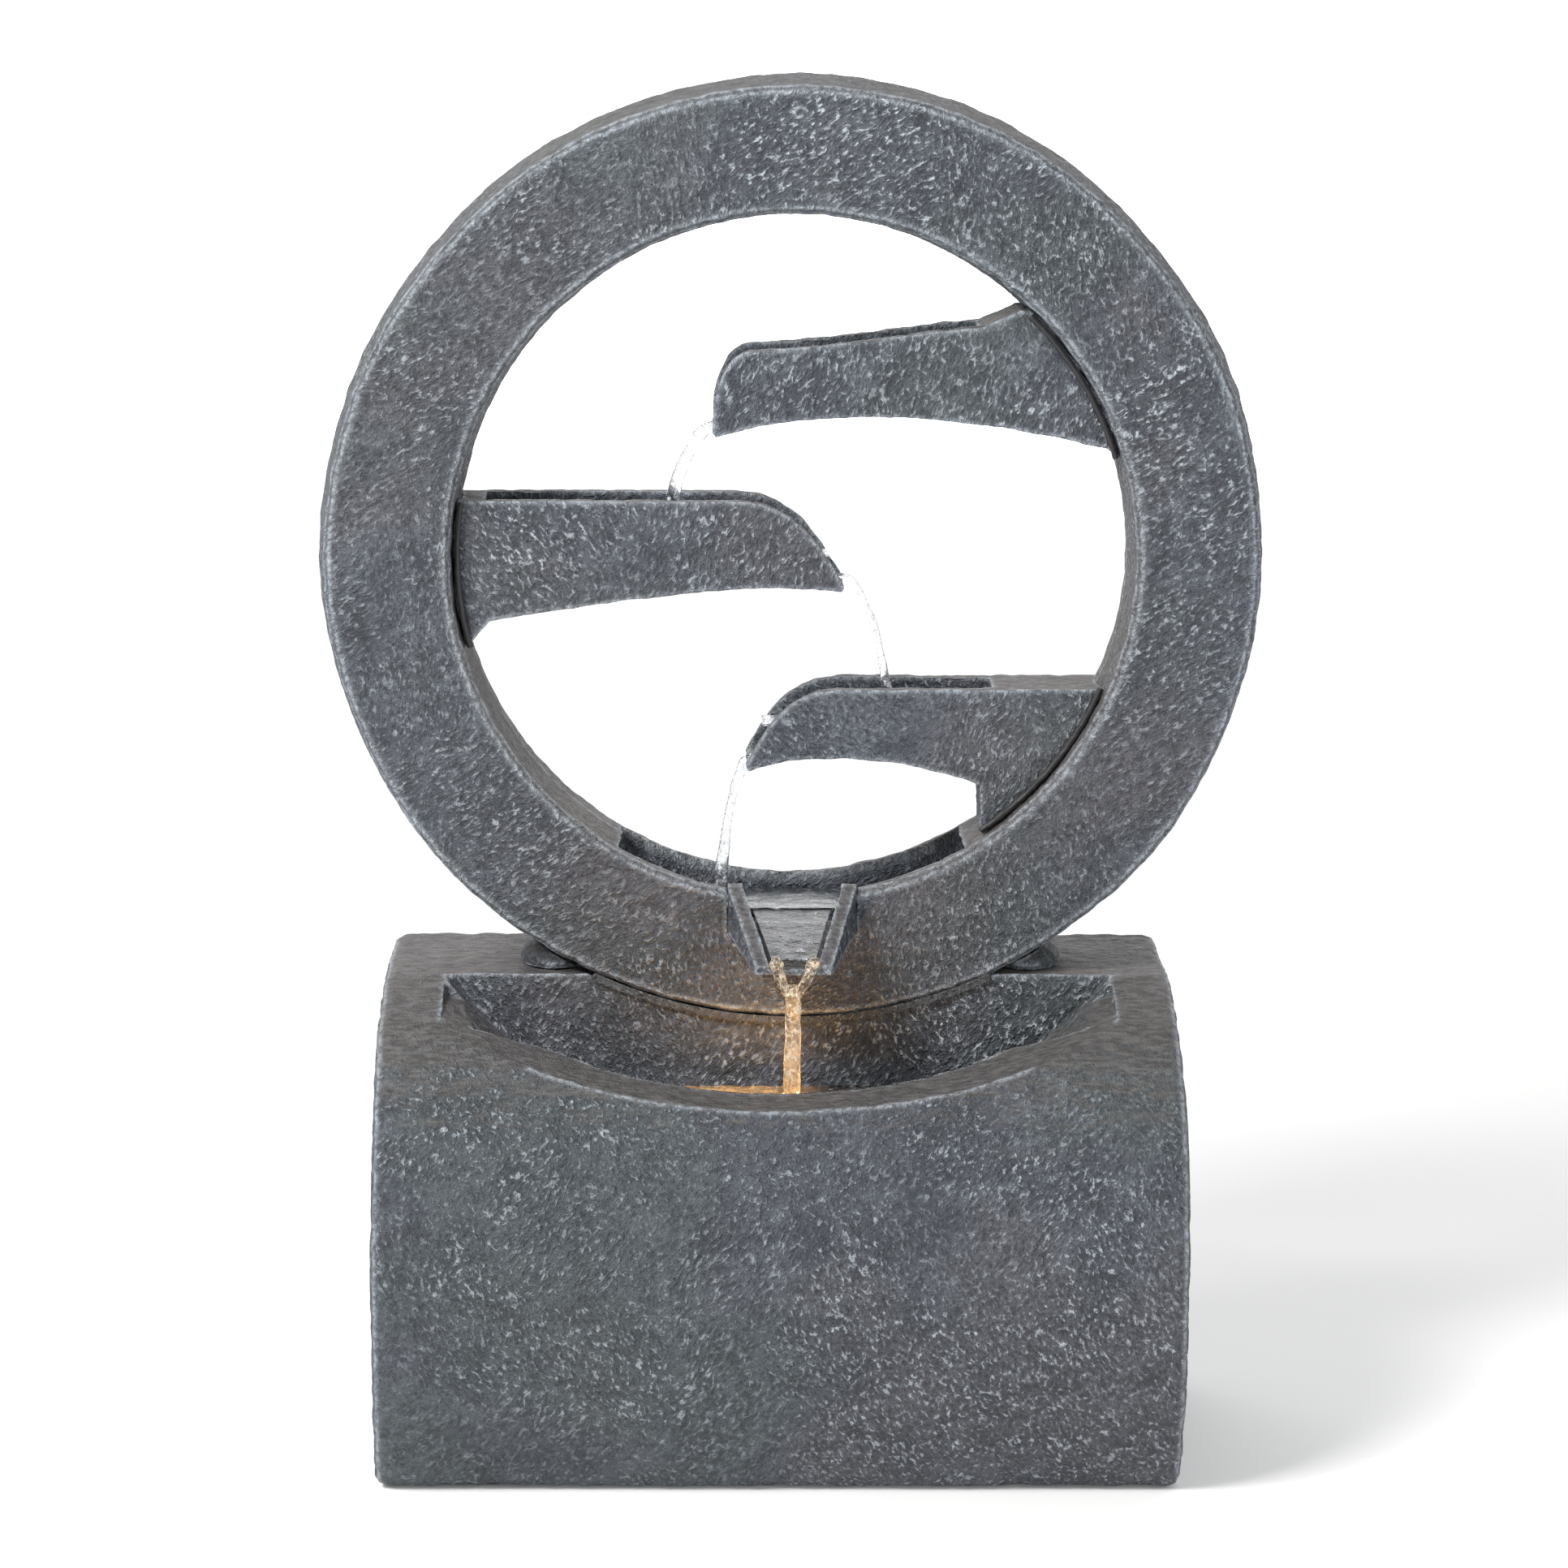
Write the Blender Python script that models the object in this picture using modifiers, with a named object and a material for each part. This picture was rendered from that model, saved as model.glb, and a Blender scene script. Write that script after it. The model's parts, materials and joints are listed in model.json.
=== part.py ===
"""Tiered water fountain: a standing ring with three spouts on a bowed base with a pool.

Metres, +Z up, the front faces -Y.  The origin is at the centre of the footprint, on the ground.
The stone pieces are thin-walled castings.  The pump and the light stand in a well under the
pool, and a hose carries the water through the hollow ring to the root of the upper spout.
"""
import math

import bmesh
import bpy
from mathutils import Matrix, Vector
from mathutils.geometry import interpolate_bezier

# ---------------------------------------------------------------- driving dimensions (metres)
GAP = 0.0003                    # between pieces that touch
CUT_OVER = 0.010                # how far a cutter runs past the face it opens
WELD = 0.00002                  # points closer than this are one point

# base
BASE_X = -0.010                 # the base stands a little to the left of the ring
BASE_WIDTH = 0.578
BASE_WALL = 0.022
FRONT_WALL = 0.024
BASE_EDGE = 0.009               # rounding of the outer edges
SLAB_Z = 0.346                  # top of the base
SLAB_FALL = 0.019               # from the slab's flat part to its front edge
SLAB_SLOPE_LENGTH = 0.075
BOW_FRONT_Y = -0.176            # the furthest point of the bowed front
BOW_Z = 0.155                   # height of that point
BOW_TOP_SETBACK = 0.115         # the slab's front edge stands this far behind that point
BOW_FOOT_SETBACK = 0.048        # the foot stands this far behind that point
REAR_SHELF = 0.052              # from the ring's back to the base's back

# ring
RING_SINK = 0.041               # how deep the ring's foot sits below the slab's top
RING_OUTER_R = 0.3405           # at the front and rear faces
RING_BAND = 0.0920              # from the outer to the inner face
RING_FRONT_Y = 0.014            # plane of the ring's front face
RING_DEPTH = 0.110
RING_DRAFT = 0.0070             # the outer face is this much larger at the parting line
RING_INNER_DRAFT = 0.0040       # the inner face is this much smaller at the parting line
RING_WALL = 0.013
RING_EDGE = 0.004               # chamfer of the face edges
RING_STEPS = 72

# channel in the foot of the ring, and the lip that empties it
CHANNEL_HALF_ANGLE = math.radians(30.5)
CHANNEL_DEPTH = 0.035           # from the ring's inner face to the channel's floor
LINER_THICKNESS = 0.009
LINER_END = math.radians(2.5)   # length of the liner's closed ends
LIP_REACH = 0.072               # in front of the ring's face
LIP_FALL = 0.019
LIP_ROOT_WIDTH = 0.094
LIP_TIP_WIDTH = 0.056
LIP_CHEEK = 0.011               # thickness of the cheeks
LIP_FLOOR = 0.007               # thickness of the floor at the ring
LIP_TIP_FLOOR = 0.004           # thickness of the floor at the tip
LIP_FLOOR_DROP = 0.020          # from the ring's inner edge down to the lip's floor
LIP_CHEEK_RISE = 0.008          # the cheeks' root stands this far over the ring's inner edge
LIP_CHEEK_TIP = 0.0025          # height of the cheeks at the tip

# spouts
SPOUT_WIDTH = 0.075
SPOUT_WALL = 0.012
SPOUT_FLOOR = 0.014
SPOUT_TIP_FLOOR = 0.45          # the floor's thickness at the tip, as a share of the full one
SPOUT_FLOOR_RUN = 0.080         # the floor would grow by its full thickness over this length
SPOUT_EMBED = 0.020             # how far an outline runs into the ring before it is cut
SPOUT_SHOULDER = 0.030          # length of the top's last part before the ring
SPOUT_BACK_WALL = 0.020         # least thickness left between a channel's end and the ring
SEALANT_R = 0.0026

# pool in the base
POOL_STEP = 0.004               # the pool's rear wall stands this far behind the ring's face
PARTITION = 0.022               # thickness of the pool's rear wall
POOL_MARGIN = 0.046             # from the pool's side to the base's side
BOWL_DEPTH = 0.119              # below the slab
RIM_CENTRE_DROP = 0.069         # the front rim's outer edge below the slab, at the middle
RIM_END_DROP = 0.0275           # the same at its ends
RIM_TILT = math.radians(7.0)    # the rim rises towards the pool
WELL_HALF_WIDTH = 0.120
WELL_FLOOR_Z = 0.080

# where the ring's foot sits in the base
CRADLE_MARGIN = 0.037           # from the ring's foot to the cradle's side, at the chamber's roof
CRADLE_FLOOR = 0.043            # thickness under the ring's foot
DOWEL_X = 0.090
DOWEL_R = 0.005
DOWEL_DEPTH = 0.028             # how far a dowel runs into the cradle
MORTAR_SIZE = (0.026, 0.034, 0.015)
MORTAR_OUT = 0.010              # from the ring's side to the lump's middle
MORTAR_LIFT = 0.004             # the lump's middle above the slab, and in front of the ring's middle

# rear cover
COVER_WIDTH = 0.170
COVER_HEIGHT = 0.150
COVER_Z = 0.140
COVER_PLATE = 0.005
COVER_LIP = 0.012               # the cover overlaps its opening by this much beside the screws
COVER_INSET = 0.009             # the cover's recess in the rear wall
GASKET = 0.0015
GASKET_INSET = 0.001
SCREW_R = 0.0030
SCREW_PLAY = 0.0004
SCREW_SEAT = 0.012              # how far a thumbscrew runs into the rear wall
THUMB_R = 0.0075
SLIT_COUNT = 5
SLIT_PITCH = 0.012
SLIT_LENGTH = 0.060
SLIT_HEIGHT = 0.004

# drain plug and grommet
DRAIN_SIDE = 0.085              # to the left of the base's middle
DRAIN_Y = -0.040
DRAIN_R = 0.010
DRAIN_TAPER = 0.002
DRAIN_HEAD_R = 0.014
DRAIN_HEAD = 0.004
DRAIN_GRIP_R = 0.003
DRAIN_GRIP = 0.016
GROMMET_SIDE = 0.170            # to the right of the base's middle
GROMMET_Z = 0.050
GROMMET_R = 0.010
GROMMET_BORE_R = 0.0038
GROMMET_LIP = 0.003
GROMMET_LIP_THICKNESS = 0.002

# hose and fittings
HOSE_R = 0.0070
HOSE_WALL = 0.0018
HOSE_SIDES = 8
BARB_WALL = 0.0011
BARB_LENGTH = 0.018
HOSE_STOP = 0.003               # a hose ends this far from the fitting shoulder
HOSE_RISE = 0.0108              # straight hose between the pump barb and the bend
FLANGE = 0.0035
FLANGE_R = 0.015
WASHER = 0.0015
WASHER_R = 0.014
NUT = 0.0057
NUT_R = 0.0145
CLAMP_WIDTH = 0.006
CLAMP_THICKNESS = 0.0011
CLAMP_LUG = 0.0028
NOZZLE_RISE = 0.1325            # above the ring's centre
FOOT_HOLE_X = -0.004
FOOT_HOLE_Y = 0.090
FOOT_HOLE_PLAY = 0.012          # round the hose

# pump
PUMP_X = 0.030                  # the outlet's place across the well
PUMP_Y = -0.052
PUMP_LENGTH = 0.056
PUMP_WIDTH = 0.046
PUMP_HEIGHT = 0.048
PUMP_EDGE = 0.003
PUMP_FOOT = 0.006               # height of the suction feet
PUMP_FOOT_R = 0.008
FOOT_STUD_R = 0.0025
FOOT_STUD = 0.0025
FOOT_FROM_END = 0.012
FOOT_FROM_SIDE = 0.009
VOLUTE_R = 0.0175
VOLUTE_DEPTH = 0.013
COLLAR_MARGIN = 0.0004          # from the outlet's collar to the housing's mouth
ROTOR_R = 0.0085
ROTOR_BORE_R = 0.0100
ROTOR_LENGTH = 0.030
VANE_R = 0.015
VANE_THICKNESS = 0.002
VANE_LENGTH = 0.0095
SHAFT_R = 0.0014
BUSH_LENGTH = 0.003
INTAKE_DEPTH = 0.014
INTAKE_WALL = 0.0025
INTAKE_EYE_R = 0.0065
INTAKE_SLOT = 0.0026
INTAKE_SLOT_PITCH = 0.0062
DIAL_R = 0.006
DIAL_THICKNESS = 0.005
DIAL_STEM_R = 0.0019
DIAL_FROM_SIDE = 0.011
DIAL_GRIP = 0.0035

# light
LED_X = -0.036
LED_Y = -0.045
LED_BELOW_BOWL = 0.013          # the tilting axis below the bowl's floor
LED_R = 0.019
LED_HEIGHT = 0.026
LED_WALL = 0.002
LED_FLOOR = 0.004
LED_BOARD = 0.002
LED_SEAL = 0.002
LED_SEAL_WIDTH = 0.003
LED_LENS = 0.0047
LED_LENS_INSET = 0.001
LED_PIVOT_R = 0.003
LED_LEAD_R = 0.0022
BRACKET = 0.003
BRACKET_WIDTH = 0.016
BRACKET_PLAY = 0.0035           # from the housing to the bracket's arms
BRACKET_ABOVE_PIVOT = 0.006

# ---------------------------------------------------------------- values that follow
RING_INNER_R = RING_OUTER_R - RING_BAND
RING_BOTTOM_Z = SLAB_Z - RING_SINK
RING_Z = RING_BOTTOM_Z + RING_OUTER_R + RING_DRAFT
RING_MID_Y = RING_FRONT_Y + RING_DEPTH / 2
RING_BACK_Y = RING_FRONT_Y + RING_DEPTH
RING_PLACE = Matrix.Translation((0.0, RING_MID_Y, RING_Z)) @ Matrix.Rotation(math.pi / 2, 4, "X")
LINER_R = RING_INNER_R + CHANNEL_DEPTH
LIP_FLOOR_Z = RING_Z - RING_INNER_R - LIP_FLOOR_DROP
SPOUT_FRONT_Y = RING_MID_Y - SPOUT_WIDTH / 2
SPOUT_BACK_Y = RING_MID_Y + SPOUT_WIDTH / 2

CREASE_Z = SLAB_Z - SLAB_FALL
BASE_BACK_Y = RING_BACK_Y + REAR_SHELF
BOW_TOP_R = (BOW_TOP_SETBACK ** 2 + (CREASE_Z - BOW_Z) ** 2) / (2 * BOW_TOP_SETBACK)
BOW_FOOT_R = (BOW_FOOT_SETBACK ** 2 + BOW_Z ** 2) / (2 * BOW_FOOT_SETBACK)
POOL_BACK_Y = RING_FRONT_Y + POOL_STEP
POOL_HALF_WIDTH = BASE_WIDTH / 2 - POOL_MARGIN
CHAMBER_FRONT_Y = POOL_BACK_Y + PARTITION
CHAMBER_BACK_Y = BASE_BACK_Y - BASE_WALL
CHAMBER_ROOF_Z = SLAB_Z - BASE_WALL
CRADLE_Z = RING_BOTTOM_Z - CRADLE_FLOOR
FOOT_HALF_WIDTH = math.sqrt((RING_OUTER_R + RING_DRAFT) ** 2 - (RING_Z - CHAMBER_ROOF_Z) ** 2)
CRADLE_HALF_WIDTH = FOOT_HALF_WIDTH + CRADLE_MARGIN
DOWEL_LOW_Z = RING_BOTTOM_Z - DOWEL_DEPTH
DOWEL_HIGH_Z = RING_Z - math.sqrt((RING_OUTER_R - RING_WALL) ** 2 - DOWEL_X ** 2)

COVER_FLOOR_Y = BASE_BACK_Y - COVER_INSET
COVER_Y = COVER_FLOOR_Y + GASKET + 2 * GAP
COVER_OPENING = -COVER_LIP - 2 * SCREW_R
DRAIN_X = BASE_X - DRAIN_SIDE
GROMMET_X = BASE_X + GROMMET_SIDE

BARB_R = (HOSE_R - HOSE_WALL) * math.cos(math.pi / HOSE_SIDES) - GAP
BARB_BORE_R = BARB_R - BARB_WALL
BULKHEAD_R = HOSE_R + 0.002
NOZZLE_R = HOSE_R - 0.0005
NOZZLE_Z = RING_Z + NOZZLE_RISE
FOOT_HOLE_R = HOSE_R + FOOT_HOLE_PLAY

PUMP_LOW_Z = WELL_FLOOR_Z + PUMP_FOOT
PUMP_TOP_Z = PUMP_LOW_Z + PUMP_HEIGHT
PUMP_AXIS_Z = PUMP_LOW_Z + PUMP_HEIGHT / 2
COLLAR_R = HOSE_R + BARB_WALL
PUMP_MOUTH_X = PUMP_X - COLLAR_R - COLLAR_MARGIN
PUMP_TAIL_X = PUMP_MOUTH_X + PUMP_LENGTH
ROTOR_ROOM_X = PUMP_MOUTH_X + VOLUTE_DEPTH + ROTOR_LENGTH + 2 * BUSH_LENGTH
INTAKE_X = PUMP_MOUTH_X - GAP
OUTLET_TOP_Z = PUMP_TOP_Z + BARB_LENGTH

FITTING_FRONT_Y = POOL_BACK_Y - GAP - FLANGE
NUT_Y = CHAMBER_FRONT_Y + GAP + WASHER + GAP
THREAD_END_Y = NUT_Y + NUT
PUMP_HOSE_END_Y = FITTING_FRONT_Y - HOSE_STOP
PUMP_HOSE_BEND = PUMP_HOSE_END_Y - BARB_LENGTH - HOSE_STOP - PUMP_Y
BULKHEAD_Z = OUTLET_TOP_Z + PUMP_HOSE_BEND + HOSE_RISE

LED_Z = SLAB_Z - BOWL_DEPTH - LED_BELOW_BOWL
LED_TOP_Z = LED_Z + LED_HEIGHT / 2
LED_LOW_Z = LED_Z - LED_HEIGHT / 2

# ---------------------------------------------------------------- scene
for old in list(bpy.data.objects):
    bpy.data.objects.remove(old, do_unlink=True)

fountain = bpy.data.collections.new("water_fountain")
cutters = bpy.data.collections.new("cutters")
bpy.context.scene.collection.children.link(fountain)
bpy.context.scene.collection.children.link(cutters)


def material(name, colour, roughness, metallic=0.0):
    """A plain Principled material."""
    made = bpy.data.materials.new(name)
    made.use_nodes = True
    shader = made.node_tree.nodes["Principled BSDF"]
    shader.inputs["Base Color"].default_value = (*colour, 1.0)
    shader.inputs["Roughness"].default_value = roughness
    shader.inputs["Metallic"].default_value = metallic
    return made


STONE = material("cast_stone", (0.140, 0.152, 0.172), 0.75)
MORTAR = material("mortar", (0.150, 0.150, 0.145), 0.90)
SEALANT = material("sealant", (0.020, 0.020, 0.022), 0.55)
PLASTIC = material("black_plastic", (0.020, 0.020, 0.022), 0.45)
ACCENT = material("grey_plastic", (0.220, 0.225, 0.230), 0.40)
RUBBER = material("rubber", (0.030, 0.030, 0.030), 0.80)
HOSE = material("clear_hose", (0.420, 0.440, 0.420), 0.30)
STEEL = material("stainless_steel", (0.600, 0.600, 0.590), 0.30, 1.0)
MAGNET = material("rotor_magnet", (0.060, 0.055, 0.055), 0.50)
CERAMIC = material("ceramic", (0.800, 0.790, 0.760), 0.25)
GLASS = material("lens_glass", (0.850, 0.870, 0.860), 0.05)
BOARD = material("light_board", (0.900, 0.700, 0.250), 0.50)


# ---------------------------------------------------------------- modelling helpers
def link(name, mesh, finish=None):
    """Puts a mesh in the fountain with its finish, or in the cutters without one."""
    made = bpy.data.objects.new(name, mesh)
    if finish is None:
        cutters.objects.link(made)
        made.hide_render = True
        made.display_type = "WIRE"
    else:
        fountain.objects.link(made)
        mesh.materials.clear()
        mesh.materials.append(finish)
    return made


def mesh_of(made):
    """A copy of an object's finished mesh."""
    return bpy.data.meshes.new_from_object(made.evaluated_get(bpy.context.evaluated_depsgraph_get()))


def from_form(name, form, finish=None):
    """Ends a bmesh as an object."""
    mesh = bpy.data.meshes.new(name)
    form.to_mesh(mesh)
    form.free()
    return link(name, mesh, finish)


def apply_all(made):
    """Applies an object's modifiers and its placing to its mesh."""
    bpy.context.view_layer.update()
    mesh = mesh_of(made)
    mesh.transform(made.matrix_world)
    made.modifiers.clear()
    made.data = mesh
    made.matrix_world = Matrix.Identity(4)
    return made


def box(name, low, high, finish=None, edge=0.0):
    """A box between two corners, with rounded edges where asked."""
    low, high = Vector(low), Vector(high)
    form = bmesh.new()
    bmesh.ops.create_cube(form, size=1.0)
    bmesh.ops.scale(form, vec=high - low, verts=form.verts)
    bmesh.ops.translate(form, vec=(low + high) / 2, verts=form.verts)
    made = from_form(name, form, finish)
    if edge > 0.0:
        bevel(made, edge)
    return made


def cylinder(name, start, end, radius, finish=None, sides=18):
    """A cylinder between two points."""
    start, end = Vector(start), Vector(end)
    form = bmesh.new()
    bmesh.ops.create_cone(form, cap_ends=True, segments=sides, radius1=radius, radius2=radius,
                          depth=(end - start).length)
    turn = (end - start).to_track_quat("Z", "Y").to_matrix().to_4x4()
    form.transform(Matrix.Translation((start + end) / 2) @ turn)
    return from_form(name, form, finish)


def sleeve(name, start, end, outer, inner, finish, sides=18):
    """A straight sleeve between two points."""
    made = cylinder(name, start, end, outer, finish, sides)
    way = (Vector(end) - Vector(start)).normalized() * CUT_OVER
    return cut(made, cylinder("bore", Vector(start) - way, Vector(end) + way, inner, sides=sides))


def turned(name, profile, place, finish=None, steps=32, closed=True):
    """Turns a (radius, height) profile about Z; one that isn't closed starts and ends on the axis."""
    mesh = bpy.data.meshes.new(name)
    count = len(profile)
    edges = [(i, (i + 1) % count) for i in range(count if closed else count - 1)]
    mesh.from_pydata([(radius, 0.0, height) for radius, height in profile], edges, [])
    made = link(name, mesh, finish)
    screw = made.modifiers.new("turn", "SCREW")
    screw.steps = steps
    screw.render_steps = steps
    screw.use_merge_vertices = True
    screw.merge_threshold = 0.00005
    made.matrix_world = place
    return apply_all(made)


def drawn_mesh(name, curve, recalculate=True):
    """The welded mesh of a curve, which is removed."""
    drawn = bpy.data.objects.new(name, curve)
    cutters.objects.link(drawn)
    bpy.context.view_layer.update()
    form = bmesh.new()
    form.from_mesh(mesh_of(drawn))
    bmesh.ops.remove_doubles(form, verts=form.verts, dist=WELD)
    if recalculate:
        bmesh.ops.recalc_face_normals(form, faces=form.faces)
    bpy.data.objects.remove(drawn, do_unlink=True)
    return form


def flat(name, outline, low, high, axis, finish=None):
    """A flat outline made thick along an axis: X takes (y, z) points and Y takes (x, z) points."""
    curve = bpy.data.curves.new(name, "CURVE")
    curve.dimensions = "2D"
    curve.fill_mode = "BOTH"
    curve.extrude = (high - low) / 2
    spline = curve.splines.new("POLY")
    spline.points.add(len(outline) - 1)
    for point, (across, up) in zip(spline.points, outline):
        point.co = (across, up, 0.0, 1.0)
    spline.use_cyclic_u = True
    form = drawn_mesh(name, curve)
    form.transform(Matrix.Rotation(math.pi / 2, 4, "X"))
    if axis == "X":
        form.transform(Matrix.Rotation(math.pi / 2, 4, "Z"))
    middle = (low + high) / 2
    form.transform(Matrix.Translation((middle, 0, 0) if axis == "X" else (0, middle, 0)))
    return from_form(name, form, finish)


def hose(name, points, radius, wall, finish):
    """A hose along a path."""
    curve = bpy.data.curves.new(name, "CURVE")
    curve.dimensions = "3D"
    curve.bevel_depth = radius
    curve.bevel_resolution = HOSE_SIDES // 4
    spline = curve.splines.new("POLY")
    spline.points.add(len(points) - 1)
    for point, place in zip(spline.points, points):
        point.co = (*place, 1.0)
    curve.use_fill_caps = wall == 0.0
    made = from_form(name, drawn_mesh(name, curve, recalculate=wall == 0.0), finish)
    if wall > 0.0:
        shell = made.modifiers.new("wall", "SOLIDIFY")
        shell.thickness = wall
        shell.offset = -1.0
        apply_all(made)
    return made


def boolean(made, tool, operation="DIFFERENCE"):
    """Cuts, joins or keeps the overlap with a tool, and removes the tool."""
    step = made.modifiers.new("boolean", "BOOLEAN")
    step.operation = operation
    step.solver = "EXACT"
    step.object = tool
    apply_all(made)
    bpy.data.objects.remove(tool, do_unlink=True)
    return made


def cut(made, *tools):
    """Takes each tool away."""
    for tool in tools:
        boolean(made, tool)
    return made


def join(made, *others):
    """Joins the others to a piece."""
    for other in others:
        boolean(made, other, "UNION")
    return made


def bevel(made, width, segments=2, angle=30.0):
    """Rounds the edges sharper than an angle."""
    step = made.modifiers.new("edges", "BEVEL")
    step.width = width
    step.segments = segments
    step.limit_method = "ANGLE"
    step.angle_limit = math.radians(angle)
    return apply_all(made)


def smooth(made, angle=35.0):
    """Shades the round faces smooth."""
    made.data.shade_smooth()
    made.data.set_sharp_from_angle(angle=math.radians(angle))
    return made


def arc(centre, radius, start, end, count):
    """Points of an arc from one angle to another."""
    return [(centre[0] + radius * math.cos(start + (end - start) * i / count),
             centre[1] + radius * math.sin(start + (end - start) * i / count)) for i in range(count + 1)]


def bezier(start, start_handle, end_handle, end, count):
    """Points of one cubic, without its last."""
    corners = [Vector((across, up, 0.0)) for across, up in (start, start_handle, end_handle, end)]
    return [(point.x, point.y) for point in interpolate_bezier(*corners, count + 1)][:-1]


def smooth_path(points, count):
    """A smooth curve through the given points, with count steps between each two."""
    ends = [2 * points[0] - points[1]] + points + [2 * points[-1] - points[-2]]
    path = []
    for before, start, end, after in zip(ends, ends[1:], ends[2:], ends[3:]):
        path += interpolate_bezier(start, start + (end - before) / 6, end - (after - start) / 6, end,
                                   count + 1)[:-1]
    return path + [points[-1]]


def across_x(name, y, z, low, high, radius, finish=None, sides=18):
    """A cylinder along X."""
    return cylinder(name, (low, y, z), (high, y, z), radius, finish, sides)


def along_y(name, x, z, low, high, radius, finish=None, sides=18):
    """A cylinder along Y."""
    return cylinder(name, (x, low, z), (x, high, z), radius, finish, sides)


def upright(name, x, y, low, high, radius, finish=None, sides=18):
    """A cylinder along Z."""
    return cylinder(name, (x, y, low), (x, y, high), radius, finish, sides)


# ---------------------------------------------------------------- base
def base_section(inset, low_z):
    """The base's (y, z) section, moved inwards by a wall; its front is two arcs."""
    crease_back = BOW_FRONT_Y + BOW_TOP_SETBACK
    top_centre = BOW_FRONT_Y + BOW_TOP_R
    foot_centre = BOW_FRONT_Y + BOW_FOOT_R
    crease = math.atan2(CREASE_Z - BOW_Z, crease_back - top_centre)
    foot = math.pi + math.asin((BOW_Z - low_z) / (BOW_FOOT_R - inset))
    upper = arc((top_centre, BOW_Z), BOW_TOP_R - inset, crease, math.pi, 9)
    lower = arc((foot_centre, BOW_Z), BOW_FOOT_R - inset, math.pi, foot, 5)
    slope_y = crease_back + SLAB_SLOPE_LENGTH
    back = BASE_BACK_Y - inset
    return [(back, low_z), (back, SLAB_Z - inset), (slope_y, SLAB_Z - inset)] + upper + lower[1:]


def bowl_arc(grow):
    """Centre and radius of the bowl's (x, z) arc, larger by a wall."""
    radius = (POOL_HALF_WIDTH ** 2 + BOWL_DEPTH ** 2) / (2 * BOWL_DEPTH)
    return (BASE_X, SLAB_Z - BOWL_DEPTH + radius), radius + grow


def within_section(made, section):
    """Keeps what lies in a (y, z) section."""
    room = flat("section", section, BASE_X - BASE_WIDTH, BASE_X + BASE_WIDTH, "X")
    return boolean(made, room, "INTERSECT")


def pool_cutter():
    """The pool: a bowl with a well in its middle."""
    centre, radius = bowl_arc(0.0)
    half = math.asin(POOL_HALF_WIDTH / radius)
    well = math.asin(WELL_HALF_WIDTH / radius)
    down = -math.pi / 2
    above = SLAB_Z + CUT_OVER
    outline = ([(BASE_X - POOL_HALF_WIDTH, above)]
               + arc(centre, radius, down - half, down - well, 6)
               + [(BASE_X - WELL_HALF_WIDTH, WELL_FLOOR_Z), (BASE_X + WELL_HALF_WIDTH, WELL_FLOOR_Z)]
               + arc(centre, radius, down + well, down + half, 6)
               + [(BASE_X + POOL_HALF_WIDTH, above)])
    pool = flat("pool_cutter", outline, BOW_FRONT_Y - CUT_OVER, POOL_BACK_Y, "Y")
    front = base_section(FRONT_WALL, WELL_FLOOR_Z)[3:]
    return within_section(pool, [(POOL_BACK_Y, WELL_FLOOR_Z), (POOL_BACK_Y, above),
                                 (front[0][0], above)] + front)


def scoop_cutter():
    """The hollow in the front wall's top, which leaves a rim that rises towards the pool."""
    sag = RIM_CENTRE_DROP - RIM_END_DROP
    low_z = SLAB_Z - RIM_CENTRE_DROP
    radius = (POOL_HALF_WIDTH ** 2 + sag ** 2) / (2 * sag)
    half = math.asin(POOL_HALF_WIDTH / radius)
    front_y = BOW_FRONT_Y + BOW_TOP_R - math.sqrt(BOW_TOP_R ** 2 - (low_z - BOW_Z) ** 2)
    down = -math.pi / 2
    above = SLAB_Z + 5 * CUT_OVER
    outline = ([(BASE_X - POOL_HALF_WIDTH, above)]
               + arc((BASE_X, low_z + radius), radius, down - half, down + half, 24)
               + [(BASE_X + POOL_HALF_WIDTH, above)])
    scoop = flat("scoop_cutter", outline, BOW_FRONT_Y - CUT_OVER, POOL_BACK_Y - CUT_OVER, "Y")
    pivot = Matrix.Translation((0.0, front_y, low_z))
    scoop.data.transform(pivot @ Matrix.Rotation(RIM_TILT, 4, "X") @ pivot.inverted())
    return scoop


def underside_cutter():
    """The hollow under the bowl and round the well, open below."""
    centre, radius = bowl_arc(BASE_WALL)
    down = -math.pi / 2
    side = BASE_WIDTH / 2 - BASE_WALL
    well = WELL_HALF_WIDTH + BASE_WALL
    shoulder = SLAB_Z - 2 * BASE_WALL
    high = math.acos((centre[1] - shoulder) / radius)
    low = math.asin(well / radius)
    roof = WELL_FLOOR_Z - BASE_WALL
    outline = ([(BASE_X - side, -CUT_OVER), (BASE_X - side, shoulder)]
               + arc(centre, radius, down - high, down - low, 6)
               + [(BASE_X - well, roof), (BASE_X + well, roof)]
               + arc(centre, radius, down + low, down + high, 6)
               + [(BASE_X + side, shoulder), (BASE_X + side, -CUT_OVER)])
    hollow = flat("underside_cutter", outline, BOW_FRONT_Y, POOL_BACK_Y, "Y")
    front = [point for point in base_section(FRONT_WALL, -CUT_OVER)[3:] if point[0] < POOL_BACK_Y]
    return within_section(hollow, [(POOL_BACK_Y, -CUT_OVER), (POOL_BACK_Y, CHAMBER_ROOF_Z)] + front)


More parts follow.
